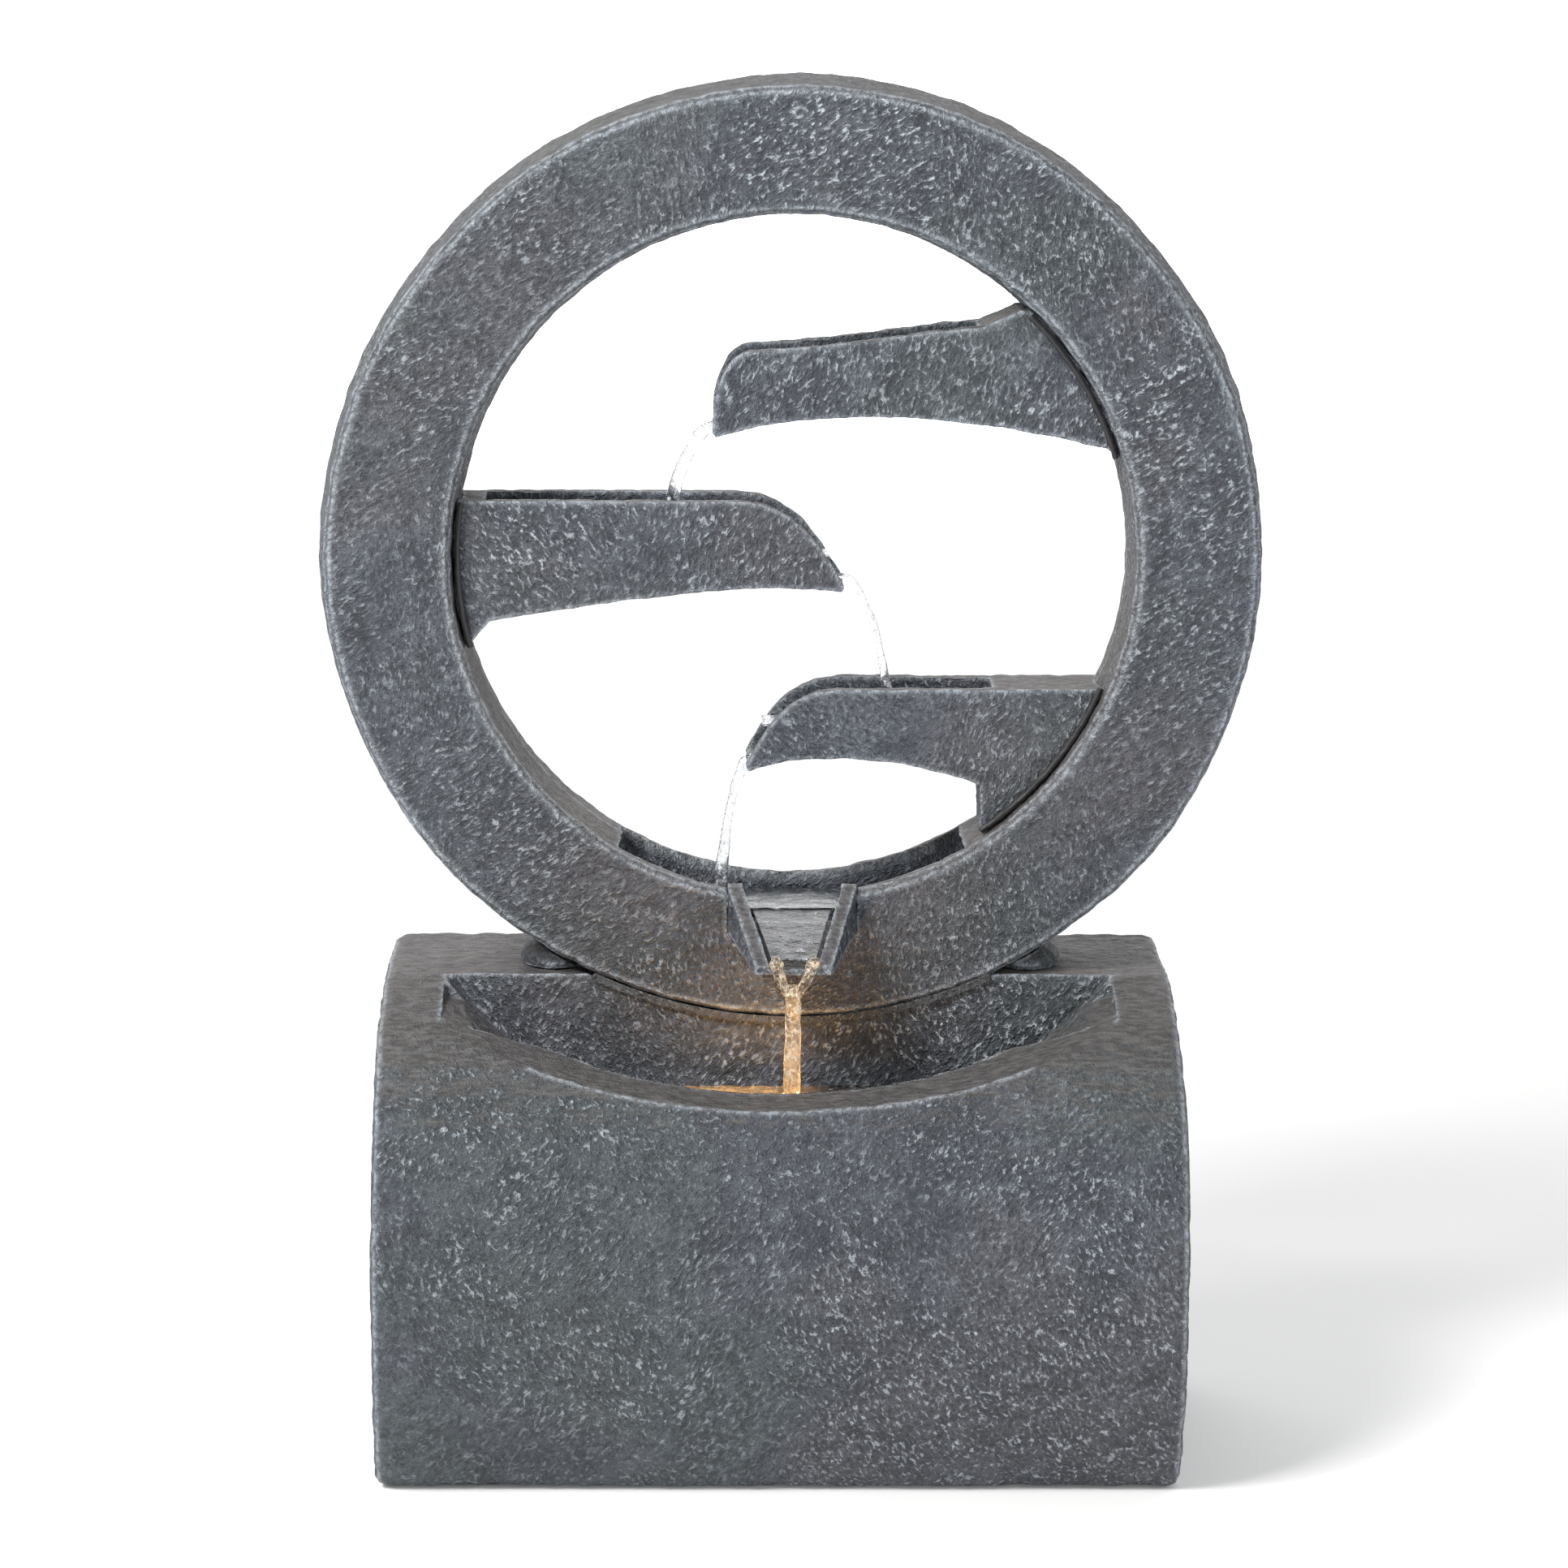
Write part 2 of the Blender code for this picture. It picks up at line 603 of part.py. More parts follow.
def chamber_cutter():
    """The dry chamber behind the pool, open below, with a cradle for the ring left in its roof."""
    side = BASE_WIDTH / 2 - BASE_WALL
    low, roof = -CUT_OVER, CHAMBER_ROOF_Z
    outline = [(BASE_X - side, low), (BASE_X - side, roof), (-CRADLE_HALF_WIDTH, roof),
               (-CRADLE_HALF_WIDTH, CRADLE_Z), (CRADLE_HALF_WIDTH, CRADLE_Z), (CRADLE_HALF_WIDTH, roof),
               (BASE_X + side, roof), (BASE_X + side, low)]
    return flat("chamber_cutter", outline, CHAMBER_FRONT_Y, CHAMBER_BACK_Y, "Y")


def ring_envelope():
    """The ring's whole form with its clearance, to cut what stands against it."""
    half, edge = RING_DEPTH / 2, RING_EDGE
    outer, inner = RING_OUTER_R, RING_INNER_R
    profile = [(outer - edge, half + GAP), (outer + GAP, half - edge), (outer + RING_DRAFT + GAP, 0.0),
               (outer + GAP, edge - half), (outer - edge, -half - GAP), (inner + edge, -half - GAP),
               (inner - GAP, edge - half), (inner - RING_INNER_DRAFT - GAP, 0.0),
               (inner - GAP, half - edge), (inner + edge, half + GAP)]
    return turned("ring_envelope", profile, RING_PLACE, steps=RING_STEPS)


def cover_corners(grow, low_y, high_y):
    """Two corners of the rear cover's plate or opening."""
    half, tall = COVER_WIDTH / 2 + grow, COVER_HEIGHT / 2 + grow
    return (BASE_X - half, low_y, COVER_Z - tall), (BASE_X + half, high_y, COVER_Z + tall)


def cover_screw_places():
    """Where the cover's two thumbscrews stand."""
    reach = COVER_WIDTH / 2 - COVER_LIP / 2 - SCREW_R
    return {"left": BASE_X - reach, "right": BASE_X + reach}


def dowel_hole(side, low, high):
    """A hole for one of the dowels in the ring's foot."""
    return upright("dowel_hole", side * DOWEL_X, RING_MID_Y, low, high, DOWEL_R + GAP)


def foot_hole(low, high):
    """The hose's way through the ring's foot."""
    return upright("foot_hole", FOOT_HOLE_X, FOOT_HOLE_Y, low, high, FOOT_HOLE_R)


def base_shell():
    """The bowed casting with its pool, well, dry chamber and seats."""
    base = flat("base_shell", base_section(0.0, 0.0), BASE_X - BASE_WIDTH / 2, BASE_X + BASE_WIDTH / 2,
                "X", STONE)
    bevel(base, BASE_EDGE, 2, 50.0)
    behind = BASE_BACK_Y + CUT_OVER
    cut(base, pool_cutter(), scoop_cutter(), underside_cutter(), chamber_cutter(), ring_envelope(),
        foot_hole(CRADLE_Z - CUT_OVER, SLAB_Z),
        box("cover_recess", *cover_corners(GAP * 2, COVER_FLOOR_Y, behind)),
        box("cover_opening", *cover_corners(COVER_OPENING, CHAMBER_BACK_Y - CUT_OVER, behind)),
        along_y("grommet_hole", GROMMET_X, GROMMET_Z, CHAMBER_BACK_Y - CUT_OVER, behind, GROMMET_R + GAP,
                sides=24),
        along_y("bulkhead_hole", PUMP_X, BULKHEAD_Z, POOL_BACK_Y - CUT_OVER, CHAMBER_FRONT_Y + CUT_OVER,
                BULKHEAD_R + GAP, sides=24),
        upright("drain_hole", DRAIN_X, DRAIN_Y, WELL_FLOOR_Z - BASE_WALL - CUT_OVER,
                WELL_FLOOR_Z + CUT_OVER, DRAIN_R + GAP - DRAIN_TAPER / 2, sides=24))
    for place in cover_screw_places().values():
        cut(base, along_y("screw_hole", place, COVER_Z, COVER_FLOOR_Y - SCREW_SEAT - SCREW_R, behind,
                          SCREW_R + SCREW_PLAY))
    cut(base, dowel_hole(-1, DOWEL_LOW_Z - GAP, DOWEL_HIGH_Z), dowel_hole(1, DOWEL_LOW_Z - GAP, DOWEL_HIGH_Z))
    smooth(base)


# ---------------------------------------------------------------- ring
def sector(name, inner, outer, half_angle, low_y, high_y, finish=None):
    """A piece of a ring's foot, between two radii and two angles about its lowest point."""
    down = -math.pi / 2
    count = 16
    outline = (arc((0.0, RING_Z), outer, down - half_angle, down + half_angle, count)
               + arc((0.0, RING_Z), inner, down + half_angle, down - half_angle, count))
    return flat(name, outline, low_y, high_y, "Y", finish)


def ring_shell(name, front):
    """Half of the hollow ring, a channel section that is open at the parting line."""
    half, wall, edge = RING_DEPTH / 2, RING_WALL, RING_EDGE
    outer, inner = RING_OUTER_R, RING_INNER_R
    profile = [(outer - edge, half), (outer, half - edge), (outer + RING_DRAFT, GAP / 2),
               (outer + RING_DRAFT - wall, GAP / 2), (outer - wall, half - wall), (inner + wall, half - wall),
               (inner - RING_INNER_DRAFT + wall, GAP / 2), (inner - RING_INNER_DRAFT, GAP / 2),
               (inner, half - edge), (inner + edge, half)]
    if not front:
        profile = [(radius, -height) for radius, height in reversed(profile)]
    shell = turned(name, profile, RING_PLACE, STONE, RING_STEPS)
    inside = RING_INNER_R + RING_WALL + RING_INNER_DRAFT / 2
    way_in = math.sqrt((inside + RING_INNER_DRAFT / 2) ** 2 - NOZZLE_RISE ** 2)
    cut(shell,
        sector("slot", RING_INNER_R - 2 * CUT_OVER, inside, CHANNEL_HALF_ANGLE,
               RING_FRONT_Y + RING_WALL, RING_BACK_Y - RING_WALL),
        across_x("nozzle_hole", RING_MID_Y, NOZZLE_Z, way_in / 2, way_in, NOZZLE_R + GAP),
        dowel_hole(-1, RING_BOTTOM_Z - CUT_OVER, DOWEL_HIGH_Z + CUT_OVER),
        dowel_hole(1, RING_BOTTOM_Z - CUT_OVER, DOWEL_HIGH_Z + CUT_OVER))
    if front:
        half_width = LIP_ROOT_WIDTH / 2 + GAP
        low = (-half_width, RING_FRONT_Y - CUT_OVER, LIP_FLOOR_Z - LIP_FLOOR - GAP)
        high = (half_width, RING_FRONT_Y + RING_WALL + CUT_OVER, RING_Z - RING_INNER_R + CHANNEL_DEPTH)
        cut(shell, box("lip_notch", low, high))
    else:
        cut(shell, foot_hole(RING_BOTTOM_Z - CUT_OVER, RING_BOTTOM_Z + 2.5 * RING_WALL))
    smooth(shell)


def channel_liner():
    """The floor and ends of the channel, which also close the ring's hollow against the water."""
    low_y = RING_FRONT_Y + RING_WALL + GAP
    high_y = RING_BACK_Y - RING_WALL - GAP
    liner = sector("channel_liner", RING_INNER_R + RING_WALL + GAP, LINER_R + LINER_THICKNESS,
                   CHANNEL_HALF_ANGLE + LINER_END, low_y, high_y, STONE)
    cut(liner, sector("channel_room", RING_INNER_R - CUT_OVER, LINER_R, CHANNEL_HALF_ANGLE,
                      low_y - CUT_OVER, high_y + CUT_OVER))
    smooth(liner)


def tapered_prism(name, root_half, tip_half, back_y, root_y, tip_y, low_z, high_z):
    """An upright prism on the lip's tapered plan."""
    plan = [(-root_half, back_y), (-root_half, root_y), (-tip_half, tip_y), (tip_half, tip_y),
            (root_half, root_y), (root_half, back_y)]
    form = bmesh.new()
    foot = form.faces.new([form.verts.new((x, y, low_z)) for x, y in plan])
    lifted = bmesh.ops.extrude_face_region(form, geom=[foot])["geom"]
    bmesh.ops.translate(form, vec=(0, 0, high_z - low_z),
                        verts=[item for item in lifted if isinstance(item, bmesh.types.BMVert)])
    bmesh.ops.recalc_face_normals(form, faces=form.faces)
    return from_form(name, form)


def lip_spout():
    """The short open chute that empties the channel into the pool."""
    top = LIP_FLOOR_Z
    tip_y = RING_FRONT_Y - LIP_REACH
    root_y = RING_FRONT_Y + RING_WALL
    cheek_z = top + LIP_FLOOR_DROP + LIP_CHEEK_RISE
    low_z, high_z = top - LIP_REACH, top + LIP_REACH
    section = [(root_y, top - LIP_FLOOR), (root_y, cheek_z), (RING_FRONT_Y, cheek_z),
               (tip_y, top - LIP_FALL + LIP_CHEEK_TIP), (tip_y, top - LIP_FALL - LIP_TIP_FLOOR),
               (RING_FRONT_Y, top - LIP_FLOOR)]
    lip = flat("lip_spout", section, -LIP_ROOT_WIDTH, LIP_ROOT_WIDTH, "X", STONE)
    boolean(lip, tapered_prism("lip_plan", LIP_ROOT_WIDTH / 2, LIP_TIP_WIDTH / 2, root_y, RING_FRONT_Y,
                               tip_y, low_z, high_z), "INTERSECT")
    past = 2 * CUT_OVER
    taper = (LIP_ROOT_WIDTH - LIP_TIP_WIDTH) / 2 / LIP_REACH
    room_tip = LIP_TIP_WIDTH / 2 - LIP_CHEEK - taper * past
    room = tapered_prism("lip_room", LIP_ROOT_WIDTH / 2 - LIP_CHEEK, room_tip, root_y + past, RING_FRONT_Y,
                         tip_y - past, low_z, high_z)
    fall = LIP_FALL / LIP_REACH * (LIP_REACH + 2 * past)
    above = [(root_y + 2 * past, top), (RING_FRONT_Y, top), (tip_y - 2 * past, top - fall),
             (tip_y - 2 * past, high_z), (root_y + 2 * past, high_z)]
    boolean(room, flat("lip_above", above, -LIP_ROOT_WIDTH, LIP_ROOT_WIDTH, "X"), "INTERSECT")
    cut(lip, room)
    smooth(lip)


# ---------------------------------------------------------------- spouts
class Spout:
    """A spout's side view, in metres from its tip: u runs to its root and v runs up."""

    def __init__(self, name, side, tip, nose, nose_handles, rise, dip, arch, flare, length):
        self.name = name
        self.side = side                    # 1 roots in the ring's right side, -1 in its left
        self.tip = tip                      # (x, z) from the ring's centre
        self.nose = nose                    # length and height of the curved nose
        self.nose_handles = nose_handles
        self.rise = rise                    # height of the root's top above the nose
        self.dip = dip                      # the shoulder's start below the root's top
        self.arch = arch                    # (u, v) handles of the underside
        self.flare = flare                  # height and length of the underside's foot, and its low end
        self.length = length                # of the channel

    def reach(self, v):
        """The distance from the tip to the ring's inner face at a height."""
        radius = RING_INNER_R - RING_INNER_DRAFT
        height = self.tip[1] + v
        return math.sqrt(radius ** 2 - height ** 2) - self.side * self.tip[0]

    def top(self):
        """Height of the root's top."""
        return self.nose[1] + self.rise

    def end(self):
        """The channel's closed end."""
        return min(self.length, self.reach(self.nose[1]) - SPOUT_BACK_WALL)

    def under(self):
        """The underside from the tip to the ring, without its end."""
        drop, length, _ = self.flare
        end = (self.reach(drop) - length, drop)
        return bezier((0.002, -0.003), self.arch[0], self.arch[1], end, 9) + [end]

    def outline(self):
        """The whole side view, from the tip round by the underside."""
        _, length, foot = self.flare
        top, out = self.top(), SPOUT_EMBED
        wall = self.reach(top)
        points = self.under()
        points += [(self.reach(foot) + length * 0.15, foot), (self.reach(foot) + out, foot - out * 0.3)]
        points += [(wall + out, top), (wall - SPOUT_SHOULDER / 8, top)]
        points += bezier((wall - SPOUT_SHOULDER, top - self.dip),
                         (wall * 0.6, self.nose[1] + self.rise * 0.45),
                         (self.nose[0] * 2.2, self.nose[1]), self.nose, 5)
        low_handle, high_handle = self.nose_handles
        return points + bezier(self.nose, high_handle, low_handle, (0.0, 0.0), 8) + [(0.0, 0.0)]

    def room(self):
        """The channel's side view: above the floor, from past the tip to its closed end."""
        end = self.end()
        floor = [(u, v + SPOUT_FLOOR * min(1.0, SPOUT_TIP_FLOOR + u / SPOUT_FLOOR_RUN))
                 for u, v in self.under() if u < end]
        high = self.top() + SPOUT_WIDTH
        return ([(-CUT_OVER, floor[0][1] - CUT_OVER / 3)] + floor
                + [(end, floor[-1][1]), (end + CUT_OVER / 2, high), (-CUT_OVER, high)])

    def place(self, points):
        """Side-view points as (x, z) in the model."""
        return [(self.tip[0] + self.side * u, RING_Z + self.tip[1] + v) for u, v in points]


UPPER = Spout("upper_spout", 1, (-0.059, 0.0885), (0.028, 0.060), ((0.000, 0.034), (0.010, 0.059)),
              0.030, 0.012, ((0.060, 0.018), (0.170, 0.018)), (-0.009, 0.006, -0.015), 0.190)
MIDDLE = Spout("middle_spout", -1, (0.037, -0.0235), (0.075, 0.063), ((0.016, 0.030), (0.036, 0.062)),
               0.000, 0.000, ((0.080, 0.006), (0.160, -0.010)), (-0.025, 0.020, -0.045), 0.262)
LOWER = Spout("lower_spout", 1, (-0.034, -0.1555), (0.065, 0.057), ((0.012, 0.028), (0.030, 0.055)),
              0.001, 0.000, ((0.040, 0.012), (0.110, 0.010)), (-0.013, 0.040, -0.050), 0.178)


def spout(shape):
    """One spout: its side view made thick, hollowed from above and cut to the ring."""
    made = flat(shape.name, shape.place(shape.outline()), SPOUT_FRONT_Y, SPOUT_BACK_Y, "Y", STONE)
    if shape is UPPER:
        start = shape.tip[0] + shape.end() - 2 * SPOUT_FLOOR
        cut(made, across_x("nozzle_hole", RING_MID_Y, NOZZLE_Z, start, RING_OUTER_R, NOZZLE_R + GAP))
    cut(made, flat("spout_room", shape.place(shape.room()), SPOUT_FRONT_Y + SPOUT_WALL,
                   SPOUT_BACK_Y - SPOUT_WALL, "Y"), ring_envelope())
    smooth(made)


def sealant(shape):
    """The bead of sealant in the corner between a spout's front face and the ring."""
    place_y = SPOUT_FRONT_Y - SEALANT_R - GAP
    share = (place_y + SEALANT_R - RING_FRONT_Y - RING_EDGE) / (RING_DEPTH / 2 - RING_EDGE)
    face_r = (RING_INNER_R - RING_INNER_DRAFT * share) * math.cos(math.pi / RING_STEPS)
    start = math.asin((shape.tip[1] + shape.flare[2]) / RING_INNER_R)
    end = math.asin((shape.tip[1] + shape.top()) / RING_INNER_R)
    bead = arc((0.0, RING_Z), face_r - SEALANT_R - 3 * GAP, start, end, 10)
    smooth(hose(shape.name + "_sealant", [Vector((shape.side * x, place_y, z)) for x, z in bead],
                SEALANT_R, 0.0, SEALANT))


def foot_mortar(name, side):
    """A lump of mortar in the corner where the ring enters the slab."""
    across = math.sqrt((RING_OUTER_R + RING_DRAFT) ** 2 - (RING_Z - SLAB_Z) ** 2)
    form = bmesh.new()
    bmesh.ops.create_uvsphere(form, u_segments=20, v_segments=12, radius=1.0)
    bmesh.ops.scale(form, vec=MORTAR_SIZE, verts=form.verts)
    place = (side * (across + MORTAR_OUT), RING_MID_Y - MORTAR_LIFT, SLAB_Z + MORTAR_LIFT)
    bmesh.ops.translate(form, vec=place, verts=form.verts)
    lump = from_form(name, form, MORTAR)
    cut(lump, ring_envelope(), box("slab_room", (-1, -1, SLAB_Z - 0.1), (1, 1, SLAB_Z + GAP)))
    smooth(lump)


def foot_dowel(name, side):
    """A steel pin that holds the ring's foot in the base."""
    smooth(upright(name, side * DOWEL_X, RING_MID_Y, DOWEL_LOW_Z, DOWEL_HIGH_Z - 2 * GAP, DOWEL_R, STEEL))


# ---------------------------------------------------------------- pump
def pump_feet_places():
    """Where the four suction feet stand."""
    reach = PUMP_WIDTH / 2 - FOOT_FROM_SIDE
    return [(x, PUMP_Y + side * reach) for x in (PUMP_MOUTH_X + FOOT_FROM_END, PUMP_TAIL_X - FOOT_FROM_END)
            for side in (-1, 1)]


def pump_housing():
    """The pump's housing with its volute, rotor room and barbed outlet."""
    half = PUMP_WIDTH / 2
    housing = box("pump_housing", (PUMP_MOUTH_X, PUMP_Y - half, PUMP_LOW_Z),
                  (PUMP_TAIL_X, PUMP_Y + half, PUMP_TOP_Z), PLASTIC, edge=PUMP_EDGE)
    join(housing,
         upright("collar", PUMP_X, PUMP_Y, PUMP_TOP_Z - CUT_OVER, PUMP_TOP_Z + HOSE_STOP, COLLAR_R),
         upright("barb", PUMP_X, PUMP_Y, PUMP_TOP_Z, OUTLET_TOP_Z, BARB_R))
    cut(housing,
        across_x("volute", PUMP_Y, PUMP_AXIS_Z, PUMP_MOUTH_X - CUT_OVER, PUMP_MOUTH_X + VOLUTE_DEPTH,
                 VOLUTE_R, sides=24),
        across_x("rotor_room", PUMP_Y, PUMP_AXIS_Z, PUMP_MOUTH_X, ROTOR_ROOM_X, ROTOR_BORE_R),
        upright("way_out", PUMP_X, PUMP_Y, PUMP_AXIS_Z + VOLUTE_R * 0.8, OUTLET_TOP_Z + CUT_OVER,
                BARB_BORE_R))
    for x, y in pump_feet_places():
        cut(housing, upright("foot_socket", x, y, PUMP_LOW_Z - CUT_OVER, PUMP_LOW_Z + FOOT_STUD + 2 * GAP,
                             FOOT_STUD_R + GAP, sides=16))
    smooth(housing)


def pump_feet():
    """The four rubber suction feet."""
    stud_z, sole_z = PUMP_FOOT + FOOT_STUD, PUMP_FOOT - 2 * GAP
    profile = [(0.0, stud_z), (FOOT_STUD_R, stud_z), (FOOT_STUD_R, sole_z), (PUMP_FOOT_R / 2, sole_z),
               (PUMP_FOOT_R, 0.0), (PUMP_FOOT_R * 0.78, 0.0), (0.0, PUMP_FOOT * 0.37)]
    for number, (x, y) in enumerate(pump_feet_places(), 1):
        place = Matrix.Translation((x, y, WELL_FLOOR_Z + GAP))
        smooth(turned("pump_foot_%d" % number, profile, place, RUBBER, 12, closed=False))


def pump_intake_cover():
    """The slotted intake cover that closes the volute and carries the shaft and the dial."""
    half = PUMP_WIDTH / 2
    front = INTAKE_X - INTAKE_DEPTH
    inner = half - INTAKE_WALL
    cover = box("pump_intake_cover", (front, PUMP_Y - half, PUMP_LOW_Z),
                (INTAKE_X, PUMP_Y + half, PUMP_TOP_Z), PLASTIC, edge=PUMP_EDGE)
    cut(cover,
        box("cage_room", (front + INTAKE_WALL, PUMP_Y - inner, PUMP_LOW_Z + INTAKE_WALL),
            (INTAKE_X - INTAKE_WALL, PUMP_Y + inner, PUMP_TOP_Z - INTAKE_WALL)),
        across_x("eye", PUMP_Y, PUMP_AXIS_Z, INTAKE_X - 2 * INTAKE_WALL, INTAKE_X + CUT_OVER, INTAKE_EYE_R))
    for row in (-3, -2, -1, 1, 2, 3):
        slot_z = PUMP_AXIS_Z + row * INTAKE_SLOT_PITCH
        cut(cover, box("slot", (front - CUT_OVER, PUMP_Y - inner + INTAKE_WALL, slot_z - INTAKE_SLOT / 2),
                       (front + INTAKE_WALL * 1.5, PUMP_Y + inner - INTAKE_WALL, slot_z + INTAKE_SLOT / 2)))
    join(cover, across_x("bridge", PUMP_Y, PUMP_AXIS_Z, front + INTAKE_WALL / 2, front + INTAKE_WALL * 1.8,
                         3 * SHAFT_R))
    cut(cover,
        across_x("shaft_seat", PUMP_Y, PUMP_AXIS_Z, front + SHAFT_R, INTAKE_X, SHAFT_R + GAP, sides=16),
        upright("dial_seat", INTAKE_X - INTAKE_DEPTH / 2, dial_y(), PUMP_TOP_Z - 2 * INTAKE_WALL,
                PUMP_TOP_Z + CUT_OVER, DIAL_STEM_R + GAP, sides=20))
    smooth(cover)


def dial_y():
    """Where the flow dial stands across the pump."""
    return PUMP_Y + PUMP_WIDTH / 2 - DIAL_FROM_SIDE


def flow_dial():
    """The dial that sits in a round seat on the intake cover."""
    x, y, z = INTAKE_X - INTAKE_DEPTH / 2, dial_y(), PUMP_TOP_Z + 2 * GAP
    dial = upright("flow_dial", x, y, z, z + DIAL_THICKNESS, DIAL_R, ACCENT, 24)
    join(dial, upright("stem", x, y, PUMP_TOP_Z - INTAKE_WALL, z + DIAL_THICKNESS / 2, DIAL_STEM_R, sides=20),
         box("grip", (x - DIAL_R / 5, y - DIAL_R * 0.84, z + DIAL_THICKNESS * 0.8),
             (x + DIAL_R / 5, y + DIAL_R * 0.84, z + DIAL_THICKNESS + DIAL_GRIP)))
    smooth(dial)


def pump_rotor():
    """The impeller on its magnet, the ceramic shaft and the rear bush."""
    start = PUMP_MOUTH_X + 5 * GAP
    end = start + VOLUTE_DEPTH + ROTOR_LENGTH - 2 * VANE_THICKNESS
    rotor = across_x("impeller", PUMP_Y, PUMP_AXIS_Z, start + VANE_THICKNESS, end, ROTOR_R, MAGNET)
    half = VANE_THICKNESS / 2
    for blade in range(3):
        vane = box("vane", (start, -half, -VANE_R), (start + VANE_LENGTH, half, VANE_R))
        vane.data.transform(Matrix.Rotation(blade * math.pi / 3, 4, "X"))
        vane.data.transform(Matrix.Translation((0, PUMP_Y, PUMP_AXIS_Z)))
        join(rotor, vane)
    cut(rotor, across_x("rotor_hole", PUMP_Y, PUMP_AXIS_Z, PUMP_MOUTH_X - CUT_OVER, PUMP_TAIL_X,
                        SHAFT_R + GAP, sides=16))
    smooth(rotor)
    smooth(across_x("impeller_shaft", PUMP_Y, PUMP_AXIS_Z, INTAKE_X - INTAKE_DEPTH + SHAFT_R + GAP,
                    ROTOR_ROOM_X - GAP, SHAFT_R, CERAMIC, 16))
    bush = ROTOR_ROOM_X - GAP
    smooth(sleeve("shaft_bush", (bush - BUSH_LENGTH, PUMP_Y, PUMP_AXIS_Z), (bush, PUMP_Y, PUMP_AXIS_Z),
                  ROTOR_BORE_R - GAP, SHAFT_R + GAP, RUBBER))


# ---------------------------------------------------------------- fittings and hoses
def bulkhead():
    """The fitting that takes the water through the pool's rear wall, with its nut and washer."""
    front_end = FITTING_FRONT_Y - BARB_LENGTH
    rear_end = THREAD_END_Y + BARB_LENGTH
    washer_y = CHAMBER_FRONT_Y + GAP
    fitting = along_y("bulkhead_fitting", PUMP_X, BULKHEAD_Z, front_end, rear_end, BARB_R, PLASTIC)
    join(fitting,
         along_y("flange", PUMP_X, BULKHEAD_Z, FITTING_FRONT_Y, FITTING_FRONT_Y + FLANGE, FLANGE_R, sides=24),
         along_y("thread", PUMP_X, BULKHEAD_Z, FITTING_FRONT_Y + FLANGE / 2, THREAD_END_Y, BULKHEAD_R,
                 sides=24))
    cut(fitting, along_y("bore", PUMP_X, BULKHEAD_Z, front_end - CUT_OVER, rear_end + CUT_OVER, BARB_BORE_R))
    smooth(fitting)
    smooth(sleeve("bulkhead_washer", (PUMP_X, washer_y, BULKHEAD_Z), (PUMP_X, washer_y + WASHER, BULKHEAD_Z),
                  WASHER_R, BULKHEAD_R + GAP, RUBBER, 24))
    nut = along_y("bulkhead_nut", PUMP_X, BULKHEAD_Z, NUT_Y, THREAD_END_Y, NUT_R, PLASTIC, 6)
    cut(nut, along_y("bore", PUMP_X, BULKHEAD_Z, NUT_Y - CUT_OVER, THREAD_END_Y + CUT_OVER, BULKHEAD_R + GAP,
                     sides=24))
    smooth(nut)


def nozzle_wall_x():
    """Where the nozzle's barb starts, behind the ring's inner wall."""
    return math.sqrt((RING_INNER_R + RING_WALL + RING_INNER_DRAFT) ** 2 - NOZZLE_RISE ** 2)


def outlet_nozzle():
    """The rigid outlet through the root of the upper spout."""
    open_x = UPPER.tip[0] + UPPER.end() - BARB_LENGTH / 3
    wall_x = nozzle_wall_x()
    tail_x = wall_x + BARB_LENGTH
    made = across_x("outlet_nozzle", RING_MID_Y, NOZZLE_Z, open_x, wall_x, NOZZLE_R, PLASTIC)
    join(made, across_x("barb", RING_MID_Y, NOZZLE_Z, wall_x - RING_INNER_DRAFT, tail_x, BARB_R))
    cut(made, across_x("bore", RING_MID_Y, NOZZLE_Z, open_x - CUT_OVER, tail_x + CUT_OVER, BARB_BORE_R))
    smooth(made)


def pump_hose():
    """The short hose from the pump to the wall, with the bands that hold its two ends."""
    low = PUMP_TOP_Z + HOSE_STOP + GAP * 3
    turn_z = BULKHEAD_Z - PUMP_HOSE_BEND
    bend = arc((PUMP_Y + PUMP_HOSE_BEND, turn_z), PUMP_HOSE_BEND, math.pi, math.pi / 2, 7)
    points = ([Vector((PUMP_X, PUMP_Y, low))] + [Vector((PUMP_X, y, z)) for y, z in bend]
              + [Vector((PUMP_X, PUMP_HOSE_END_Y, BULKHEAD_Z))])
    smooth(hose("pump_hose", points, HOSE_R, HOSE_WALL, HOSE))
    hose_clamp("pump_end", (PUMP_X, PUMP_Y, low + CLAMP_WIDTH), (0, 0, 1))
    hose_clamp("wall_end", (PUMP_X, PUMP_HOSE_END_Y - CLAMP_WIDTH, BULKHEAD_Z), (0, 1, 0))


